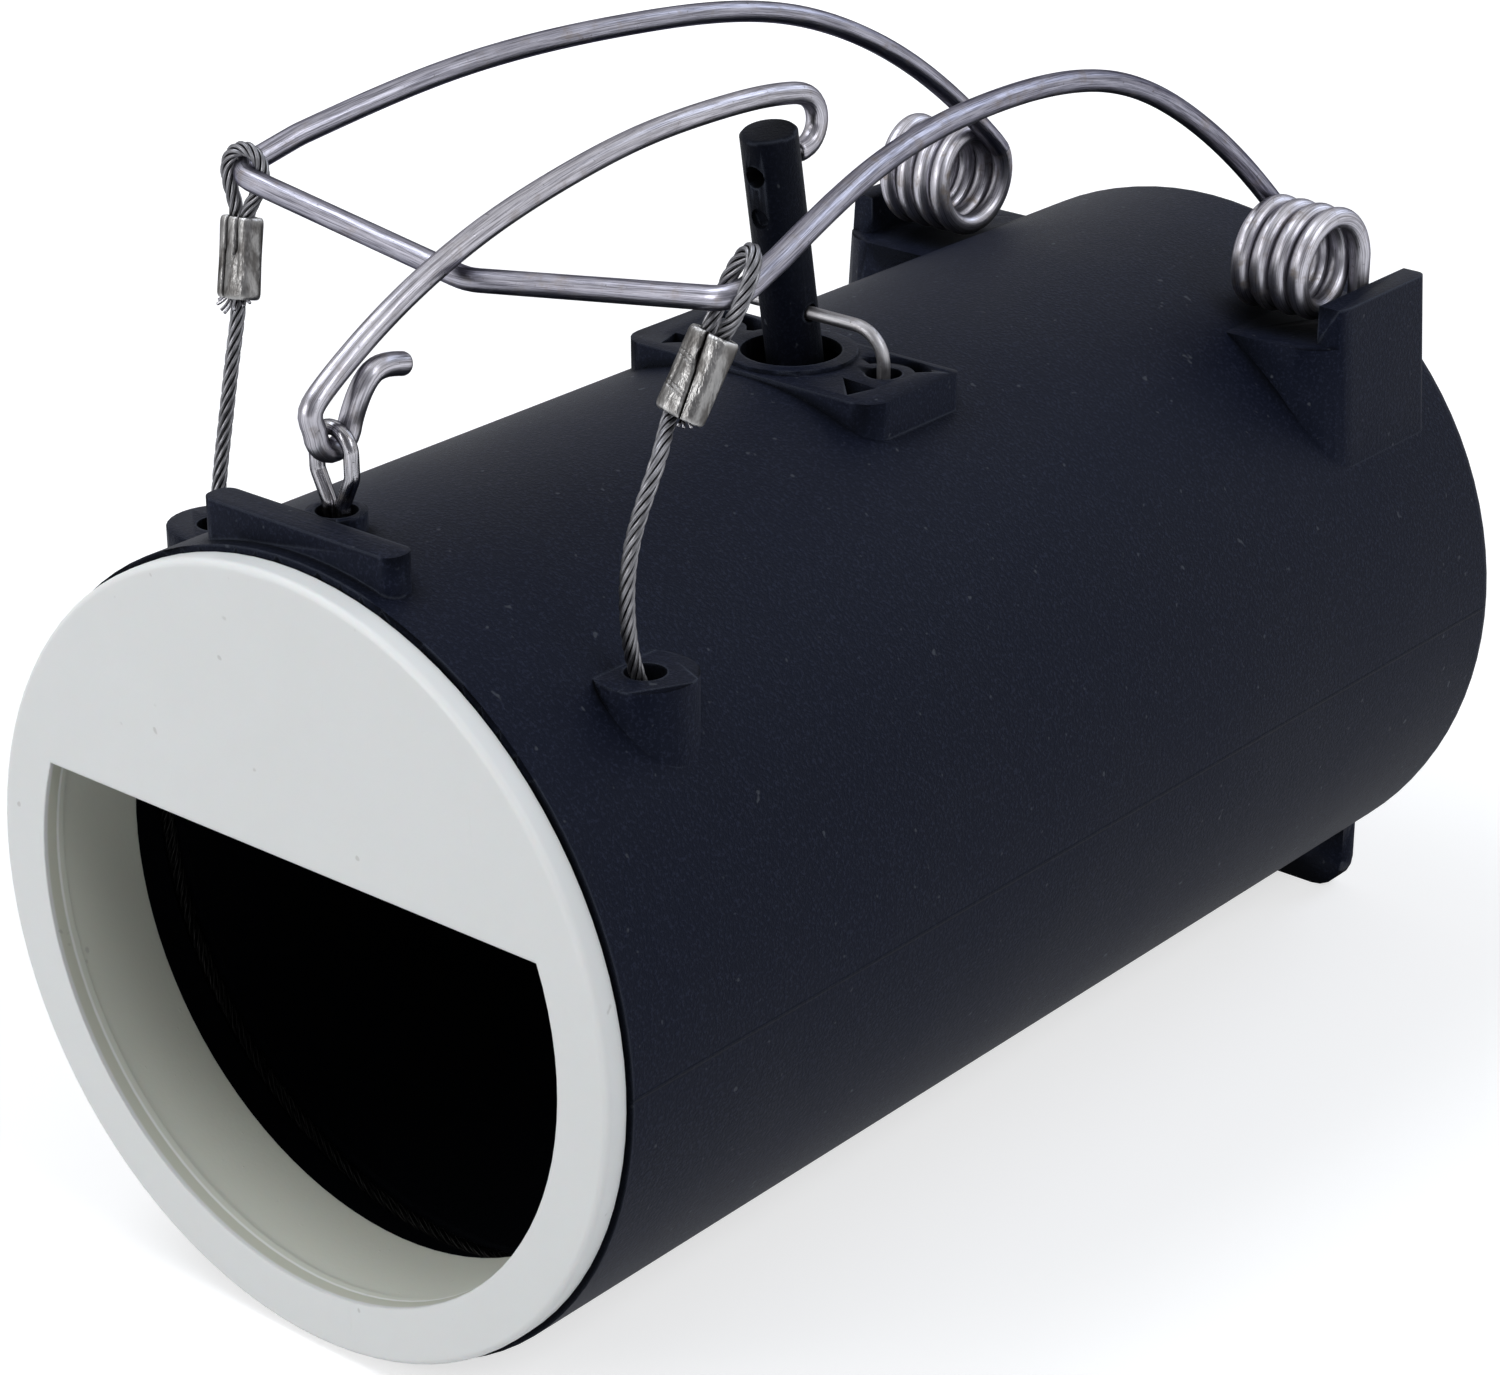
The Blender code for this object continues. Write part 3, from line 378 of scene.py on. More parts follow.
def skin(name, rings, material, closed=False, grain=None):
    """Mesh over a grid of rings: each point joins the next of its ring and of the next ring.

    Each end is closed by a fan to its ring's middle, unless the last ring joins the first.
    """
    count, around = rings.shape[:2]
    i, j = np.meshgrid(np.arange(count if closed else count - 1), np.arange(around), indexing="ij")
    after_i, after_j = (i + 1) % count, (j + 1) % around
    quads = np.stack([i * around + j, i * around + after_j, after_i * around + after_j,
                      after_i * around + j], -1).reshape(-1, 4)
    points = rings.reshape(-1, 3)
    faces = quads.tolist()
    if not closed:
        points = np.concatenate([points, rings[:1].mean(1), rings[-1:].mean(1)])
        edge = np.arange(around)
        middle = np.full(around, count * around)
        last = (count - 1) * around
        start = np.stack([middle, (edge + 1) % around, edge], -1)
        end = np.stack([middle + 1, last + edge, last + (edge + 1) % around], -1)
        faces += start.tolist() + end.tolist()
    mesh = bpy.data.meshes.new(name)
    mesh.from_pydata(points.tolist(), [], faces)
    mesh.shade_smooth()
    mesh.set_sharp_from_angle(angle=math.radians(50))
    if grain is not None:
        middles = grain[[0, -1], 0][:len(points) - count * around]
        values = np.concatenate([grain.reshape(-1, 3), middles])
        carried = mesh.attributes.new("grain", "FLOAT_VECTOR", "POINT")
        carried.data.foreach_set("vector", values.ravel())
    mesh.materials.append(material)
    piece = bpy.data.objects.new(name, mesh)
    bpy.context.scene.collection.objects.link(piece)
    return piece


def smooth(points, spacing):
    """Even points on the natural cubic through some points, whose bend is zero at both ends."""
    knots = np.array(points, float)
    gaps = np.linalg.norm(np.diff(knots, axis=0), axis=1)
    along = np.concatenate([[0], np.cumsum(gaps)])
    inner = np.arange(1, len(knots) - 1)
    system = np.eye(len(knots))
    system[inner, inner - 1] = gaps[:-1]
    system[inner, inner] = 2 * (gaps[:-1] + gaps[1:])
    system[inner, inner + 1] = gaps[1:]
    right = np.zeros_like(knots)
    right[1:-1] = 6 * np.diff(np.diff(knots, axis=0) / gaps[:, None], axis=0)
    bend = np.linalg.solve(system, right)
    s = np.linspace(0, along[-1], max(2, round(along[-1] / spacing)) + 1)
    i = np.clip(np.searchsorted(along, s, "right") - 1, 0, len(knots) - 2)
    gap = gaps[i][:, None]
    after = (s - along[i])[:, None] / gap
    before = 1 - after
    bow = (before ** 3 - before) * bend[i] + (after ** 3 - after) * bend[i + 1]
    return before * knots[i] + after * knots[i + 1] + gap ** 2 / 6 * bow


def bent(points, radii, steps=10):
    """Straight lines through some points, with an arc of its own radius at each inner one."""
    route = [np.array(points[0])]
    for before, point, after, radius in zip(points, points[1:], points[2:], radii):
        towards, away = unit(before - point), unit(after - point)
        half = math.acos(float(np.clip(towards @ away, -1, 1))) / 2
        if radius == 0 or math.pi / 2 - half < 1e-3:
            route.append(np.array(point))
            continue
        centre = point + unit(towards + away) * radius / math.sin(half)
        start = point + towards * radius / math.tan(half) - centre
        finish = point + away * radius / math.tan(half) - centre
        sweep = math.pi - 2 * half
        share = np.linspace(0, 1, steps + 1)[:, None]
        swung = start * np.sin((1 - share) * sweep) + finish * np.sin(share * sweep)
        route += list(centre + swung / math.sin(sweep))
    return np.array(route + [np.array(points[-1])])


def lengths(path):
    """Distance from the start to each point of a path."""
    return np.concatenate([[0], np.cumsum(np.linalg.norm(np.diff(path, axis=0), axis=1))])


def stations(path, spacing, ends):
    """A path's points again at an even spacing, with closer ones at both ends."""
    along = lengths(path)
    close = np.array(ends)
    even = np.linspace(close[-1], along[-1] - close[-1], max(2, round(along[-1] / spacing)))
    s = np.concatenate([close[:-1], even, along[-1] - close[-2::-1]])
    return s, np.stack([np.interp(s, along, path[:, k]) for k in range(3)], -1)


def axes(path, towards):
    """Two directions square to a path at each point, the first square to towards as well."""
    forward = unit(np.gradient(path, axis=0))
    side = unit(np.cross(np.array(towards, float), forward))
    return side, np.cross(forward, side)


def wire(name, path, radius, towards, material, spacing=0.0006, sides=24, chamfer=0.35):
    """Round wire along a path, its cut ends broken by a small chamfer.

    Point (s, a) is path(s) + r(s) (side cos a + up sin a), r falling to 0.8 at both ends.
    """
    cut = chamfer * radius
    s, centre = stations(path, spacing, (0.0, 0.4 * cut, cut) if cut else (0.0,))
    side, up = axes(centre, towards)
    size = np.ones(len(s))
    if cut:
        size[[0, -1]], size[[1, -2]] = 0.8, 0.93
    a = np.linspace(0, 2 * np.pi, sides, endpoint=False)
    around = side[:, None] * np.cos(a)[:, None] + up[:, None] * np.sin(a)[:, None]
    rings = centre[:, None] + radius * size[:, None, None] * around
    shape = (len(s), sides)
    grain = np.stack([np.broadcast_to(np.cos(a), shape), np.broadcast_to(np.sin(a), shape),
                      np.broadcast_to((s / radius)[:, None], shape)], -1)
    return skin(name, rings, material, grain=grain)


def drawn_wire(name, dark, pale, rough, mottle):
    """Drawn wire: lines along it, cloudy gloss, dull brown patches and rubbed places."""
    finish = Finish(bpy.data.materials.new(name), Metallic=1.0, Specular_Tint=(0.12, 0.12, 0.14, 1))
    at = finish.place()
    lines = finish.noise(finish.scaled(finish.grain(), (1, 1, 0.022)), 10.0, 3.0, 0.7)
    cloud = finish.noise(at, 260.0, 3.0, 0.6)
    patch = finish.step(finish.noise(at, 420.0, 3.0, 0.7), 0.52, 0.72) * mottle
    pits = finish.step(finish.noise(at, 2600.0, 2.0), 0.66, 0.78)
    colour = finish.tint(finish.step(lines, 0.26, 0.70), dark, pale)
    colour = finish.tint(patch, colour, (0.20, 0.165, 0.135, 1))
    colour = finish.tint(pits * 0.6, colour, (0.10, 0.09, 0.085, 1))
    normal = finish.bump(lines, 0.000012, finish.bump(pits, 0.000012))
    finish.set(Base_Color=colour, Roughness=rough + cloud * 0.16 + patch * 0.18, Normal=normal)
    return finish.holder


def arc(radius, start, end, steps):
    """Points of a circle about zero, (r cos a, r sin a), between two angles in degrees."""
    a = np.radians(np.linspace(start, end, steps + 1))
    return np.stack([radius * np.cos(a), radius * np.sin(a)], -1)


def mirrored(points):
    """The same points on the other side of the trap."""
    return np.asarray(points) * (-1, 1, 1)


SIDE_SHIFT = PIVOT[0]
POST_DEPTH = PIVOT[1] - ENTRANCE
PIVOT_HEIGHT = PIVOT[2] - AXIS
clinch = math.sqrt(BORE_RADIUS ** 2 - STAPLE_HALF_SPAN ** 2) - FIT - 2 * STAPLE_WIRE
leg_depth = POST_DEPTH + STAPLE_SETBACK
half_staple = np.array([spot(STAPLE_HALF_SPAN - CLINCH_LENGTH, leg_depth, clinch),
                        spot(STAPLE_HALF_SPAN, leg_depth, clinch),
                        spot(STAPLE_HALF_SPAN, leg_depth, PAD_TOP),
                        spot(STAPLE_HALF_SPAN + STAPLE_LEAN, POST_DEPTH, PIVOT_HEIGHT)])
staple_bends = [CLINCH_BEND] * 2 + [STAPLE_BEND] * 2 + [CLINCH_BEND] * 2
staple_path = bent(np.concatenate([mirrored(half_staple), half_staple[::-1]]), staple_bends)
staple_steel = drawn_wire("staple_steel", (0.24, 0.235, 0.245, 1), (0.48, 0.475, 0.50, 1),
                          rough=0.34, mottle=0.4)
staple = wire("staple", staple_path, STAPLE_WIRE, (0, 1, 0), staple_steel, 0.0004, 20)
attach(staple, "trap")
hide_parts("pivot_staple")

# The anchor eye: a short plated wire folded into an eye, its two legs driven
# down into the boss behind the stop bar. The latch hooks through it.

EYE_WIRE = 0.00075
EYE_DEPTH = JOINTS["latch_swing"][1] - ENTRANCE
EYE_TOP = JOINTS["latch_swing"][2] - AXIS
EYE_HALF_WIDTH = 0.00225
EYE_TAPER = 0.0045
EYE_BEND = 0.00115
BAR_TOP = 0.04355

eye_leg = EYE_WIRE + FIT / 2
eye_shoulder = EYE_TOP - EYE_HALF_WIDTH
eye_side = [(eye_leg, BORE_RADIUS + FIT), (eye_leg, BAR_TOP + EYE_WIRE),
            (EYE_HALF_WIDTH, eye_shoulder - EYE_TAPER + EYE_HALF_WIDTH)]
eye_crown = [(x, eye_shoulder + z) for x, z in arc(EYE_HALF_WIDTH, 180, 0, 18)]
eye_outline = [(-x, z) for x, z in eye_side] + eye_crown + eye_side[::-1]
eye_bends = [EYE_BEND] * 2 + [0] * len(eye_crown) + [EYE_BEND] * 2
eye_points = np.array([spot(SIDE_SHIFT + x, EYE_DEPTH, z) for x, z in eye_outline])
eye_path = bent(eye_points, eye_bends, 6)
bright_wire = drawn_wire("bright_wire", (0.040, 0.039, 0.042, 1), (0.50, 0.495, 0.53, 1),
                         rough=0.09, mottle=0.6)
eye = wire("anchor_eye_wire", eye_path, EYE_WIRE, (0, 1, 0), bright_wire, 0.0003, 20)
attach(eye, "trap")
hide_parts("anchor_eye")

# The latch: hard drawn wire, hooked through the eye, curved over the spring
# and bent down behind the post, whose hole catches its end.

SPRING_WIRE = 0.00115
POST_RADIUS = 0.0030
POST_LEAN = math.radians(9.6)
LATCH_HOLE_ABOVE = 0.0158

latch_pivot = spot(SIDE_SHIFT, EYE_DEPTH, EYE_TOP)
hook_radius = SPRING_WIRE + EYE_WIRE + FIT
hook = [latch_pivot + (0, y, z) for y, z in arc(hook_radius, -10, -180, 10)]
tail = [latch_pivot + step for step in
        ((0.0010, 0.0086, 0.0040), (0.0011, 0.0060, 0.0046), (0.0012, 0.0040, 0.0044),
         (0.0009, 0.0029, 0.0030), (0.0004, 0.0024, 0.0012))]
# share of the way from the eye to the post, and height above the pivot
latch_shape = ((-0.042, 0.0018), (-0.0175, 0.0037), (0.022, 0.0054), (0.080, 0.0076),
               (0.155, 0.0100), (0.240, 0.0122), (0.317, 0.0138), (0.482, 0.0162),
               (0.652, 0.0177), (0.828, 0.0180), (1.000, 0.0172))
latch_reach = POST_DEPTH - EYE_DEPTH
latch_arm = [latch_pivot + (0, share * latch_reach, rise) for share, rise in latch_shape]
clear = POST_RADIUS + FIT + SPRING_WIRE / 2
lean_y, lean_z = math.cos(POST_LEAN), math.sin(POST_LEAN)
latch_tip = spot(SIDE_SHIFT, POST_DEPTH + clear * lean_y - LATCH_HOLE_ABOVE * lean_z,
                 PIVOT_HEIGHT + clear * lean_z + LATCH_HOLE_ABOVE * lean_y)
latch_rear = [latch_tip + (0, y, z) for y, z in
              ((0.0018, 0.0054), (0.0030, 0.0040), (0.0031, 0.0019), (0.0020, 0.0005))]
latch_path = smooth(tail + hook + latch_arm + latch_rear + [latch_tip], 0.0005)
latch_steel = drawn_wire("latch_steel", (0.150, 0.145, 0.165, 1), (0.54, 0.53, 0.58, 1),
                         rough=0.22, mottle=0.35)
latch = wire("latch_wire", latch_path, SPRING_WIRE, (1, 0, 0), latch_steel)
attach(latch, "latch")
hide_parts("latch_arm")

# The spring's coils: four close turns of spring wire each, whose outer end
# stands as a leg in its bracket and whose inner end runs into the arm.
# Winding and rubbing turn on turn leave them mottled brown and grey.

COIL_DEPTH = JOINTS["spring_swing"][1] - ENTRANCE
COIL_HEIGHT = JOINTS["spring_swing"][2] - AXIS
COIL_START = 0.0193
COIL_RADIUS = 0.0052
COIL_PITCH = 0.00245
COIL_TURNS = 4
COIL_LEAD = math.radians(36.0)
LEG_LENGTH = 0.0150


def coil_points(wound):
    """Points of the right coil, by the angle wound from the arm's end.

    A helix about X: x is its start + pitch by the turn, and y and z lie on a circle at the
    lead's angle less the wound one.
    """
    wound = np.asarray(wound, float)
    x = COIL_START + COIL_PITCH * wound / (2 * np.pi)
    y = ENTRANCE + COIL_DEPTH + COIL_RADIUS * np.cos(COIL_LEAD - wound)
    z = AXIS + COIL_HEIGHT + COIL_RADIUS * np.sin(COIL_LEAD - wound)
    return np.stack([x, y, z], -1)


coil_steel = drawn_wire("coil_steel", (0.165, 0.160, 0.175, 1), (0.60, 0.59, 0.65, 1),
                        rough=0.28, mottle=0.75)
coil_turns = coil_points(np.linspace(0.0, COIL_LEAD + 2 * math.pi * COIL_TURNS, 300))
coil_leg = coil_turns[-1] - np.outer((0.05, 0.33, 0.66, 1), (0, 0, LEG_LENGTH))
coil_path = np.concatenate([coil_turns, coil_leg])
coil_end = COIL_START + COIL_PITCH * (COIL_TURNS + COIL_LEAD / (2 * math.pi))
hub = spot(0, COIL_DEPTH, COIL_HEIGHT)
for hand, path in (("right", coil_path), ("left", mirrored(coil_path))):
    coil = wire("coil_" + hand, path, SPRING_WIRE, (1, 0, 0), coil_steel, 0.0005, chamfer=0)
    outer, inner = (hub + (np.sign(path[0, 0]) * x, 0, 0) for x in (coil_end, COIL_START))
    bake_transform(coil)
    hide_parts("spring_coil_" + hand)

# The spring's bail: both arms and the shallow V between their ends, one spring
# wire that bows over the tube and is held down by the latch. Each arm leaves
# its coil on the coil's own curve.

CORNER = spot(0.0320, 0.0280, 0.0662)
CORNER_BEND = 0.0022
VERTEX_FORWARD = 0.0008
VERTEX_DROP = 0.0047
VERTEX_BEND = 0.0110
LEFT_DROOP = 0.0007
ARM_LEVEL = 0.08715

arm_start = coil_points(0)
# shares of the way forward, heights over the level and shares of the way out
arm_shape = np.array(((0.085, 0.0081, 0.008), (0.175, 0.0149, 0.03), (0.330, 0.0226, 0.14),
                      (0.545, 0.02595, 0.32), (0.765, 0.0253, 0.62), (0.930, 0.0219, 0.90)))
arm_steps = np.stack([(CORNER[0] - arm_start[0]) * arm_shape[:, 2],
                      (CORNER[1] - arm_start[1]) * arm_shape[:, 0],
                      arm_shape[:, 1] - (arm_start[2] - ARM_LEVEL)], -1)
arm_bow = coil_points(-np.radians((0, 4, 8, 12))) * (0, 1, 1) + arm_start * (1, 0, 0)
arm = np.concatenate([smooth(np.concatenate([arm_bow, arm_start + arm_steps]), 0.0015), [CORNER]])
vertex = CORNER * (0, 1, 1) - (0, VERTEX_FORWARD, VERTEX_DROP)
left_arm = mirrored(arm)
left_arm[-1] -= (0, 0, LEFT_DROOP)
bail_knots = np.concatenate([arm, [vertex], left_arm[::-1]])
bail_bends = np.zeros(len(bail_knots) - 2)
bail_bends[len(arm) - 2:len(arm) + 1] = CORNER_BEND, VERTEX_BEND, CORNER_BEND
bail_path = bent(bail_knots, bail_bends)
bail_steel = drawn_wire("bail_steel", (0.100, 0.098, 0.120, 1), (0.40, 0.395, 0.455, 1),
                        rough=0.23, mottle=0.4)
bail = wire("spring_bail_wire", bail_path, SPRING_WIRE, (0, 0, 1), bail_steel, 0.0008, chamfer=0)
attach(bail, "spring")
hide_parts("spring_bail")

# The wire rope: six strands laid round a seventh, 1.5 mm across, right-hand
# lay. Each end makes a loop round a corner of the bail, doubled back into its
# sleeve, and the rest runs down through a boss into the tube.

ROPE_RADIUS = 0.00075
LAY = 0.0087
LOOP_SPREAD = 0.0009
LOOP_NECK = 0.0012
# each loop: how far its middle lies along the arm and its shift from there, its sleeve's turn,
# lean inward and forward and drop, and its crown's twist, half width and rise over the bend
LOOPS = {"right": dict(reach=0.0002, shift=(-0.0008, -0.0009), turn=8.0, inward=0.20,
                       forward=0.48, drop=0.0046, twist=37.0, wide=0.00202, rise=0.0044),
         "left": dict(reach=0.0006, shift=(0.0007, -0.0012), turn=0.0, inward=0.11,
                      forward=0.24, drop=0.0060, twist=20.0, wide=0.00208, rise=0.0023)}
corner_bend = bent(np.array([arm[-2], arm[-1], vertex]), [CORNER_BEND], 6)
arm_end = unit(arm[-2] - arm[-1])


def rope(name, path, towards, material, spacing=0.00036, per_strand=8):
    """Laid rope along a path. Strands of a third of its radius lie round a core.

    Seen from the middle, a strand's surface is c cos b + sqrt(q^2 - c^2 sin^2 b) away,
    where b is the angle from the strand's own middle, and the whole ring turns once a lay.
    """
    s, centre = stations(path, spacing, (0.0, 0.00008, 0.0002))
    side, up = axes(centre, towards)
    count = 6 * per_strand
    a = np.linspace(0, 2 * np.pi, count, endpoint=False)
    b = (a + np.pi / 6) % (np.pi / 3) - np.pi / 6
    c, q = ROPE_RADIUS * 2 / 3, ROPE_RADIUS / 3
    out = c * np.cos(b) + np.sqrt(np.maximum(q ** 2 - (c * np.sin(b)) ** 2, 0))
    turn = a[None] + 2 * np.pi * s[:, None] / LAY
    ring = side[:, None] * np.cos(turn)[..., None] + up[:, None] * np.sin(turn)[..., None]
    size = np.ones(len(s))
    size[[0, -1]], size[[1, -2]] = 0.7, 0.92
    rings = centre[:, None] + ring * out[None, :, None] * size[:, None, None]
    crest = np.broadcast_to((out - out.min()) / np.ptp(out), turn.shape)
    grain = np.stack([crest, np.broadcast_to(a / (np.pi / 3), turn.shape),
                      np.broadcast_to((s / ROPE_RADIUS)[:, None], turn.shape)], -1)
    piece = skin(name, rings, material, grain=grain)
    piece.data.set_sharp_from_angle(angle=math.radians(75))
    return piece


def wire_rope(name, dark, pale, groove_shade):
    """Zinc-coated strands: pale on their crests, painted shade between them, wires showing."""
    finish = Finish(bpy.data.materials.new(name), Metallic=1.0, Specular_Tint=(0.12, 0.12, 0.13, 1))
    grain = finish.grain()
    crest, strand, length = (finish.part(grain, way) for way in "XYZ")
    wires = finish.step(abs((strand * 3.0 + length * 0.045).fraction() - 0.5), 0.25, 0.5)
    cloud = finish.noise(finish.place(), 700.0, 3.0, 0.6)
    colour = finish.tint(cloud, dark, pale)
    colour = finish.tint(wires * 0.45, colour, (0.10, 0.10, 0.095, 1))
    # Painted shade: the grooves between strands go near black.
    colour = finish.tint(finish.step(crest, 0.72, 0.12) * groove_shade, colour, (0.014, 0.013, 0.013, 1))
    normal = finish.bump(1.0 - wires, 0.00003)
    finish.set(Base_Color=colour, Roughness=0.26 + cloud * 0.22 + wires * 0.15, Normal=normal)
    return finish.holder


def turned(along, degrees, down):
    """Level direction square to another, turned right by an angle and made square to down."""
    cos, sin = math.cos(math.radians(degrees)), math.sin(math.radians(degrees))
    across = np.array([along[1] * cos - along[0] * sin, -along[1] * sin - along[0] * cos, 0.0])
    return unit(across - down * (across @ down))


def loop_frame(hand):
    """Middle of a loop on its corner of the bail, the way across it and the way down its sleeve."""
    sizes = LOOPS[hand]
    middle = corner_bend[1] + arm_end * sizes["reach"] + (*sizes["shift"], 0)
    down = unit(np.array([-sizes["inward"], -sizes["forward"], -1.0]))
    across = turned(arm_end, sizes["turn"], down)
    return (middle, across, down) if hand == "right" else mirrored([middle, across, down])


def loop_crown(hand):
    """Points of the loop over the corner's own bend: saddle + wide cos a - fall sin a.

    Fall is the way from the bend to the sleeve's top, and wide lies square across both.
    """
    sizes = LOOPS[hand]
    side = (1, 1, 1) if hand == "right" else (-1, 1, 1)
    middle, _, down = loop_frame(hand)
    saddle = corner_bend[4] * side - (0, 0, 0 if hand == "right" else LEFT_DROOP)
    fall = unit(middle + down * sizes["drop"] - saddle)
    wide = turned(arm_end, sizes["twist"], fall * side) * side * sizes["wide"]
    return [saddle + wide * x - fall * sizes["rise"] * y for x, y in arc(1, -15, 195, 14)]


bright_rope = wire_rope("bright_rope", (0.10, 0.10, 0.108, 1), (0.34, 0.34, 0.365, 1), 0.98)
for hand in ("right", "left"):
    middle, across, down = loop_frame(hand)
    neck = down * LOOP_NECK
    first, last = (middle + across * share * LOOP_SPREAD + down * LOOPS[hand]["drop"]
                   for share in (1, -1))
    path = smooth([first + neck, first] + loop_crown(hand) + [last, last + neck], 0.0002)
    loop = rope("rope_loop_" + hand, path, np.cross(across, down), bright_rope, 0.0003)
    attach(loop, "spring")
    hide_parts("cable_loop_" + hand)

# The sleeves: short oval tubes of tinned copper, slipped over both legs of a
# loop and squeezed. The tool leaves a crease down the middle, two pairs of
# marks across, and dull worn corners.

SLEEVE_LENGTH = 0.0080
SLEEVE_WIDTH = 0.0050
SLEEVE_THICKNESS = 0.0032
SLEEVE_WALL = 0.0005
SLEEVE_LIP = 0.00022
CRIMP_MARKS = (0.33, 0.39, 0.70, 0.75)
# each crease: where it starts and ends along the sleeve, its place across at both, depth, breadth
SLEEVE_CREASES = {"right": ((-1, 2, 0.06, 0.40, 0.55, 0.055),),
                  "left": ((-1, 2, 0.27, 0.27, 0.55, 0.060), (-1, 0.45, -0.42, -0.36, 0.45, 0.050))}
MARKED_SLEEVE = "right"


def crimped_sleeve(name, middle, across, down, creases, marked, material):
    """Oval tube with long creases, and cross marks if marked, walled, both lips rolled over.

    Round the outside a point is (w |cos t|^0.72, h |sin t|^0.72), each with its own sign, and h
    loses a narrow bell about each crease and a shallow one at each mark, at a dent on one side
    and over the sleeve's middle. The wall turns in at both lips.
    """
    out = np.cross(down, across)
    s = np.concatenate([np.linspace(0, 1, 110), np.linspace(1, 0, 24)])
    inside = np.concatenate([np.zeros(110), np.ones(24)])
    t = np.linspace(0, 2 * np.pi, 180, endpoint=False)
    x, y = (np.sign(way) * np.abs(way) ** 0.72 for way in (np.cos(t), np.sin(t)))
    lip = np.exp(-np.minimum(s, 1 - s) * 45) * (1 - inside)
    width, height = (size / 2 - SLEEVE_WALL * inside - SLEEVE_LIP * lip
                     for size in (SLEEVE_WIDTH, SLEEVE_THICKNESS))
    groove = np.zeros((len(s), len(t)))
    for start, end, top, bottom, depth, breadth in creases:
        line = top + (bottom - top) * s + 0.035 * np.tanh((s - 0.42) * 30)
        reach = 0.5 * (np.tanh((s - start) * 24) + np.tanh((end - s) * 24))
        off = x[None] - line[:, None]
        bell = np.exp(-(off / breadth) ** 2) + 0.16 * np.exp(-(off / (4 * breadth)) ** 2)
        groove = groove + depth * bell * np.clip(reach, 0, 1)[:, None]
    beside = 0.5 - 0.5 * np.tanh((x[None] - 0.5 * (creases[0][2] + creases[0][3])) * 12)
    marks = sum(np.exp(-((s[:, None] - at - 0.05 * x[None]) / 0.009) ** 2) for at in CRIMP_MARKS)
    marks = marks * beside * marked
    dent = np.exp(-((x[None] + 0.55) / 0.10) ** 2) * np.exp(-((s[:, None] - 0.55) / 0.22) ** 2)
    waist = np.sin(np.pi * s)[:, None] ** 2
    squeeze = 1 - (groove + 0.05 * marks + 0.09 * dent + 0.05 * waist) * (1 - inside[:, None])
    rings = (middle + down * (s * SLEEVE_LENGTH)[:, None])[:, None]
    rings = rings + across * (width[:, None] * x[None])[..., None]
    rings = rings + out * (height[:, None] * y[None] * squeeze)[..., None]
    grain = np.stack([np.clip(groove / 0.5, 0, 1), np.clip(marks * 0.8, 0, 1),
                      np.broadcast_to(lip[:, None], groove.shape)], -1)
    if np.cross(across, out) @ down < 0:
        rings, grain = rings[:, ::-1], grain[:, ::-1]
    return skin(name, rings, material, closed=True, grain=grain)


def tinned_copper(name):
    """Tinned sleeve: hammered dull and bright by turns, painted shade in its creases, and rubbed
    lips.
    """
    finish = Finish(bpy.data.materials.new(name), Metallic=1.0, Specular_Tint=(0.2, 0.2, 0.2, 1))
    grain = finish.grain()
    crease, mark, lip = (finish.part(grain, way) for way in "XYZ")
    streaked = finish.place((1.0, 1.0, 0.4))
    cloud = finish.noise(streaked, 620.0, 4.0, 0.65)
    dull = finish.step(finish.noise(streaked, 420.0, 4.0, 0.75), 0.40, 0.58)
    scratches = finish.noise(finish.place((1.0, 1.0, 0.12)), 2600.0, 3.0, 0.7)
    round_edge, turn = finish.softened(0.00015)
    edge = finish.step(turn, 0.02, 0.2)
    colour = finish.tint(cloud, (0.05, 0.049, 0.050, 1), (0.42, 0.415, 0.41, 1))
    colour = finish.tint(dull * 0.7, colour, (0.060, 0.054, 0.050, 1))
    colour = finish.tint(finish.step(scratches, 0.58, 0.72) * 0.4, colour, (0.09, 0.088, 0.085, 1))
    colour = finish.tint(mark * 0.9, colour, (0.05, 0.047, 0.045, 1))
    colour = finish.tint(lip * 0.75 + edge * 0.6, colour, (0.85, 0.85, 0.85, 1))
    # Painted shade: the creases are painted near black.
    colour = finish.tint(finish.step(crease, 0.22, 0.65), colour, (0.006, 0.005, 0.005, 1))
    normal = finish.bump(scratches, 0.00003, finish.bump(cloud, 0.00030, round_edge))
    finish.set(Base_Color=colour, Roughness=0.20 + cloud * 0.20 + dull * 0.15, Normal=normal)
    return finish.holder


tinned = tinned_copper("tinned_sleeve")
for hand, creases in SLEEVE_CREASES.items():
    middle, across, down = loop_frame(hand)
    top = middle + down * LOOPS[hand]["drop"]
    marked = hand == MARKED_SLEEVE
    sleeve = crimped_sleeve("sleeve_" + hand, top, across, down, creases, marked, tinned)
    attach(sleeve, "spring")
    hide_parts("ferrule_" + hand)

# The cut end of the rope below each sleeve: its strands spring apart into a
# short tuft. It rides with the sleeve.

STRAND_RADIUS = 0.00016
# each strand: its place across the mouth, how far it leans across and outwards, and its length
TUFTS = {"right": ((0.0009, 0.0006, 0.0004, 0.0012), (0.0011, 0.0010, 0.0001, 0.0009),
                   (0.0007, 0.0003, 0.0006, 0.0013)),
         "left": ((0.0014, 0.0013, 0.0002, 0.0010), (0.0012, 0.0010, 0.0007, 0.0014),
                  (0.0008, 0.0004, 0.0009, 0.0019), (0.0003, 0.0000, 0.0011, 0.0021),
                  (-0.0004, -0.0005, 0.0008, 0.0017), (-0.0009, -0.0012, 0.0005, 0.0012),
                  (-0.0012, -0.0014, 0.0001, 0.0008), (0.0010, 0.0016, -0.0002, 0.0007))}


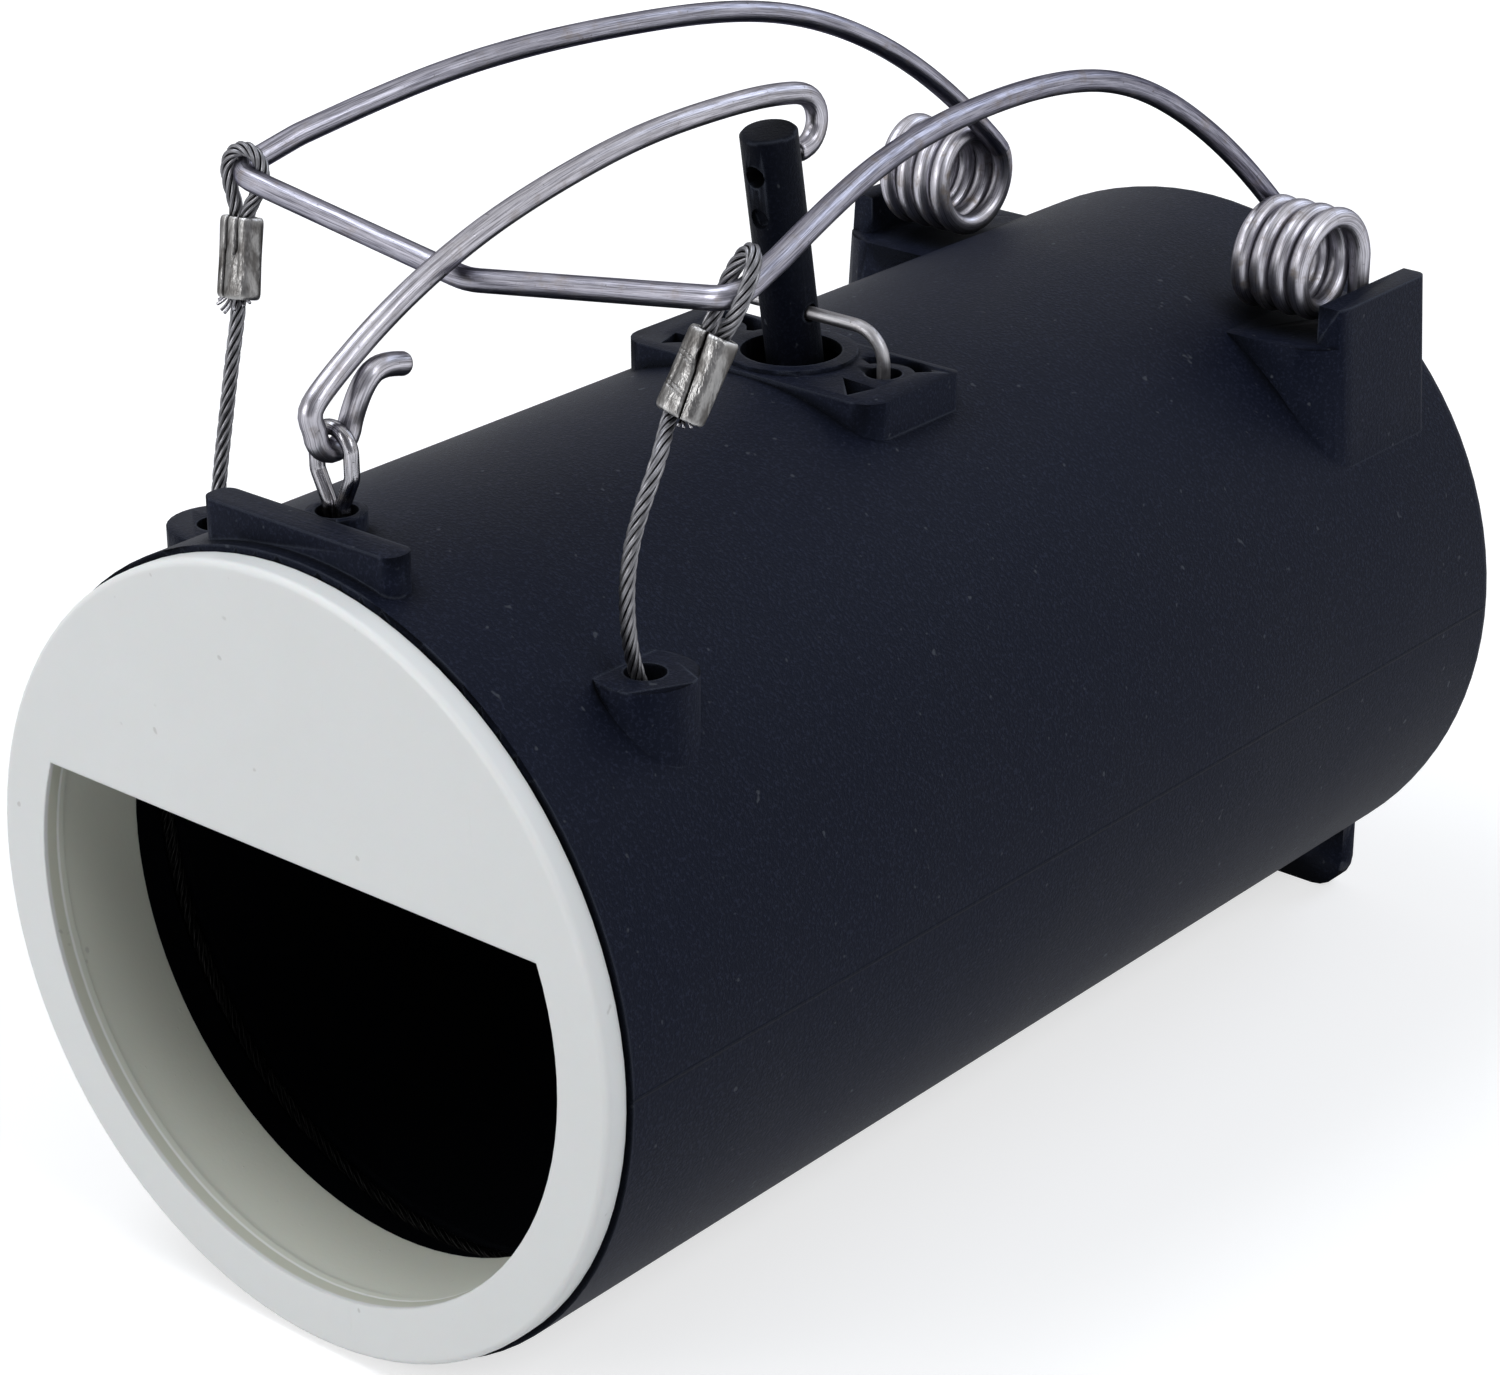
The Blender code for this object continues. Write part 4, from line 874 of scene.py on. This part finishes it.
def cut_strand(name, start, lean, fall, towards, material):
    """A strand from a sleeve's mouth: start + fall s + lean s squared, for s from 0 to 1."""
    s = np.linspace(0, 1, 12)[:, None]
    path = start + fall * s + lean * s ** 2
    return wire(name, path, STRAND_RADIUS, towards, material, 0.0003, 10)


for hand, strands in TUFTS.items():
    middle, across, down = loop_frame(hand)
    out = np.cross(down, across) * (1 if np.cross(down, across)[1] < 0 else -1)
    mouth = middle + down * (LOOPS[hand]["drop"] + SLEEVE_LENGTH - 0.0006) + out * 0.0003
    for number, (place, lean, rise, reach) in enumerate(strands):
        strand = cut_strand(f"cut_strand_{hand}_{number}", mouth + across * place,
                            across * lean + out * rise, down * reach, out + across * 0.3,
                            bright_wire)
        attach(strand, "spring")

# The rope's free runs: from each sleeve down into its boss on the tube's
# shoulder. Each is held at both ends.

BOSS_X = 0.02824
BOSS_DEPTH = 0.0197
BOSS_TOP = 0.03227
RUN_FOOT = BOSS_TOP - 0.0025
# each run: its boss, its place across the sleeve's mouth, its shift in the boss's mouth, and
# its way up from there
RUNS = {"right": (BOSS_X, LOOP_SPREAD, (-0.0002, -0.0009),
                  ((0.0012, 0.0020, 0.0206), (0.0010, -0.0007, 0.0153),
                   (0.0006, -0.0017, 0.0103), (0.0003, -0.0014, 0.0050))),
        "left": (-BOSS_X, 0.0001, (-0.0003, 0.0004),
                 ((-0.0014, 0.0044, 0.0153), (-0.0010, 0.0028, 0.0100),
                  (-0.0005, 0.0012, 0.0050)))}

for hand, (x, spread, (shift, back), shape) in RUNS.items():
    middle, across, down = loop_frame(hand)
    end = middle - across * spread + down * (LOOPS[hand]["drop"] + SLEEVE_LENGTH)
    mouth = spot(x + shift, BOSS_DEPTH + back, BOSS_TOP)
    knots = [end - down * 0.4 * SLEEVE_LENGTH, end] + [mouth + step for step in shape]
    knots += [mouth, spot(x, BOSS_DEPTH, RUN_FOOT)]
    run = rope("rope_run_" + hand, smooth(knots, 0.0004), (0, 1, 0), bright_rope)
    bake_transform(run)
    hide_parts("cable_run_" + hand)

# The noose: the same rope, laid open in the groove inside the tube, from one
# boss round the bottom to the other. It is painted near black: painted shade.

NOOSE_RADIUS = 0.0389
noose_angle = math.degrees(math.acos(BOSS_X / NOOSE_RADIUS)) - 6
noose_top = RUN_FOOT - 0.0006
noose_entry = [(BOSS_X, noose_top), (BOSS_X + 0.0001, noose_top - 0.0015)]
noose_ring = [tuple(point) for point in arc(NOOSE_RADIUS, noose_angle, -180 - noose_angle, 60)]
noose_outline = noose_entry + noose_ring + [(-x, z) for x, z in noose_entry[::-1]]
noose_path = smooth([spot(x, BOSS_DEPTH, z) for x, z in noose_outline], 0.0006)
# Painted shade: the noose's rope is painted near black inside the tube.
dull_rope = wire_rope("dull_rope", (0.003, 0.003, 0.003, 1), (0.008, 0.008, 0.008, 1), 0.9)
noose = rope("noose", noose_path, (0, 1, 0), dull_rope, 0.0006, 6)
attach(noose, "trap")
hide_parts("snare_noose")

# The floor and the room: a pale matt floor under a white surround. Eyes and
# mirrors see both as white; the lamps and a dimmer surround light the trap.

FLOOR_HALF_WIDTH = 6.0
GLOW_NEAR = 0.25
GLOW_FAR = 0.60


def panel(name, corners, material):
    """One flat four-sided panel."""
    mesh = bpy.data.meshes.new(name)
    mesh.from_pydata(corners, [], [(0, 1, 2, 3)])
    mesh.materials.append(material)
    piece = bpy.data.objects.new(name, mesh)
    bpy.context.scene.collection.objects.link(piece)
    return piece


def seen(finish):
    """One for rays from the camera, a gloss or a clear material, else zero."""
    camera, gloss, clear = (finish.node("LightPath", output="Is " + kind + " Ray")
                            for kind in ("Camera", "Glossy", "Transmission"))
    return camera | gloss | clear


pale = Finish(bpy.data.materials.new("pale_floor"), Base_Color=(0.60, 0.60, 0.60, 1),
              Roughness=0.9, Specular_IOR_Level=0.1, Emission_Strength=1.0)
distance = pale.length(pale.node("TexCoord", output="Object"))
glow = pale.tint(pale.step(distance, GLOW_NEAR, GLOW_FAR), (0.62, 0.62, 0.62, 1), (1, 1, 1, 1))
pale.set(Emission_Color=pale.tint(seen(pale), (0, 0, 0, 1), glow))
floor = panel("floor", [(x * FLOOR_HALF_WIDTH, y * FLOOR_HALF_WIDTH, 0) for x, y in
                        ((-1, -1), (1, -1), (1, 1), (-1, 1))], pale.holder)

world = bpy.data.worlds.new("studio")
bpy.context.scene.world = world
surround = Finish(world, "Background", Strength=1.0)
surround.set(Color=surround.tint(seen(surround), (0.27, 0.275, 0.285, 1), (1, 1, 1, 1)))

# The lamps: four square soft boxes, in front, above, behind and on the right.
# A dim card behind the camera, which only a gloss meets, keeps the wire's
# near side from turning white.

LAMP_AIM = (0.0, 0.0, 0.06)
# each lamp: its name, place, width, power and colour
LAMPS = (("key", (-0.35, -1.10, 0.45), 0.50, 4.5, (1, 1, 1)),
         ("top", (-0.42, -0.25, 0.95), 0.50, 3.8, (0.90, 0.94, 1.0)),
         ("rear", (0.30, 1.05, 0.75), 0.60, 2.6, (0.72, 0.82, 1.0)),
         ("side", (1.00, -0.10, 0.80), 0.60, 5.3, (0.95, 0.97, 1.0)))

dim = Finish(bpy.data.materials.new("dark_card"), Base_Color=(0.02, 0.02, 0.02, 1),
             Roughness=1.0, Emission_Color=(0.30, 0.30, 0.32, 1), Emission_Strength=1.0)
card = panel("card", [(0.05, -1.05, 0.05), (0.95, -0.29, 0.05), (0.73, -0.03, 0.95),
                      (-0.17, -0.79, 0.95)], dim.holder)
card.visible_camera = card.visible_diffuse = False
card.visible_shadow = card.visible_transmission = False

for name, place, width, power, colour in LAMPS:
    light = bpy.data.lights.new(name, "AREA")
    light.size, light.energy, light.color = width, power, colour
    holder = bpy.data.objects.new(name, light)
    bpy.context.scene.collection.objects.link(holder)
    holder.location = place
    holder.rotation_euler = (Vector(LAMP_AIM) - Vector(place)).to_track_quat("-Z", "Y").to_euler()

# The camera looks down at the entrance from the right, through a long lens
# and from less than half a metre away.

CAMERA_PLACE = (0.246919, ENTRANCE - 0.224097, AXIS + 0.177302)
CAMERA_TURN = 0.702321
CAMERA_DIP = 0.421071
CAMERA_ROLL = -0.002796

view = bpy.data.cameras.new("view")
view.sensor_width = 36.0
view.lens = 95.185
view.clip_start = 0.01
holder = bpy.data.objects.new("view", view)
bpy.context.scene.collection.objects.link(holder)
turn = (Matrix.Rotation(CAMERA_TURN, 4, "Z") @ Matrix.Rotation(math.pi / 2 - CAMERA_DIP, 4, "X")
        @ Matrix.Rotation(CAMERA_ROLL, 4, "Z"))
holder.matrix_world = Matrix.Translation(CAMERA_PLACE) @ turn
bpy.context.scene.camera = holder
bpy.context.scene.view_settings.view_transform = "Standard"
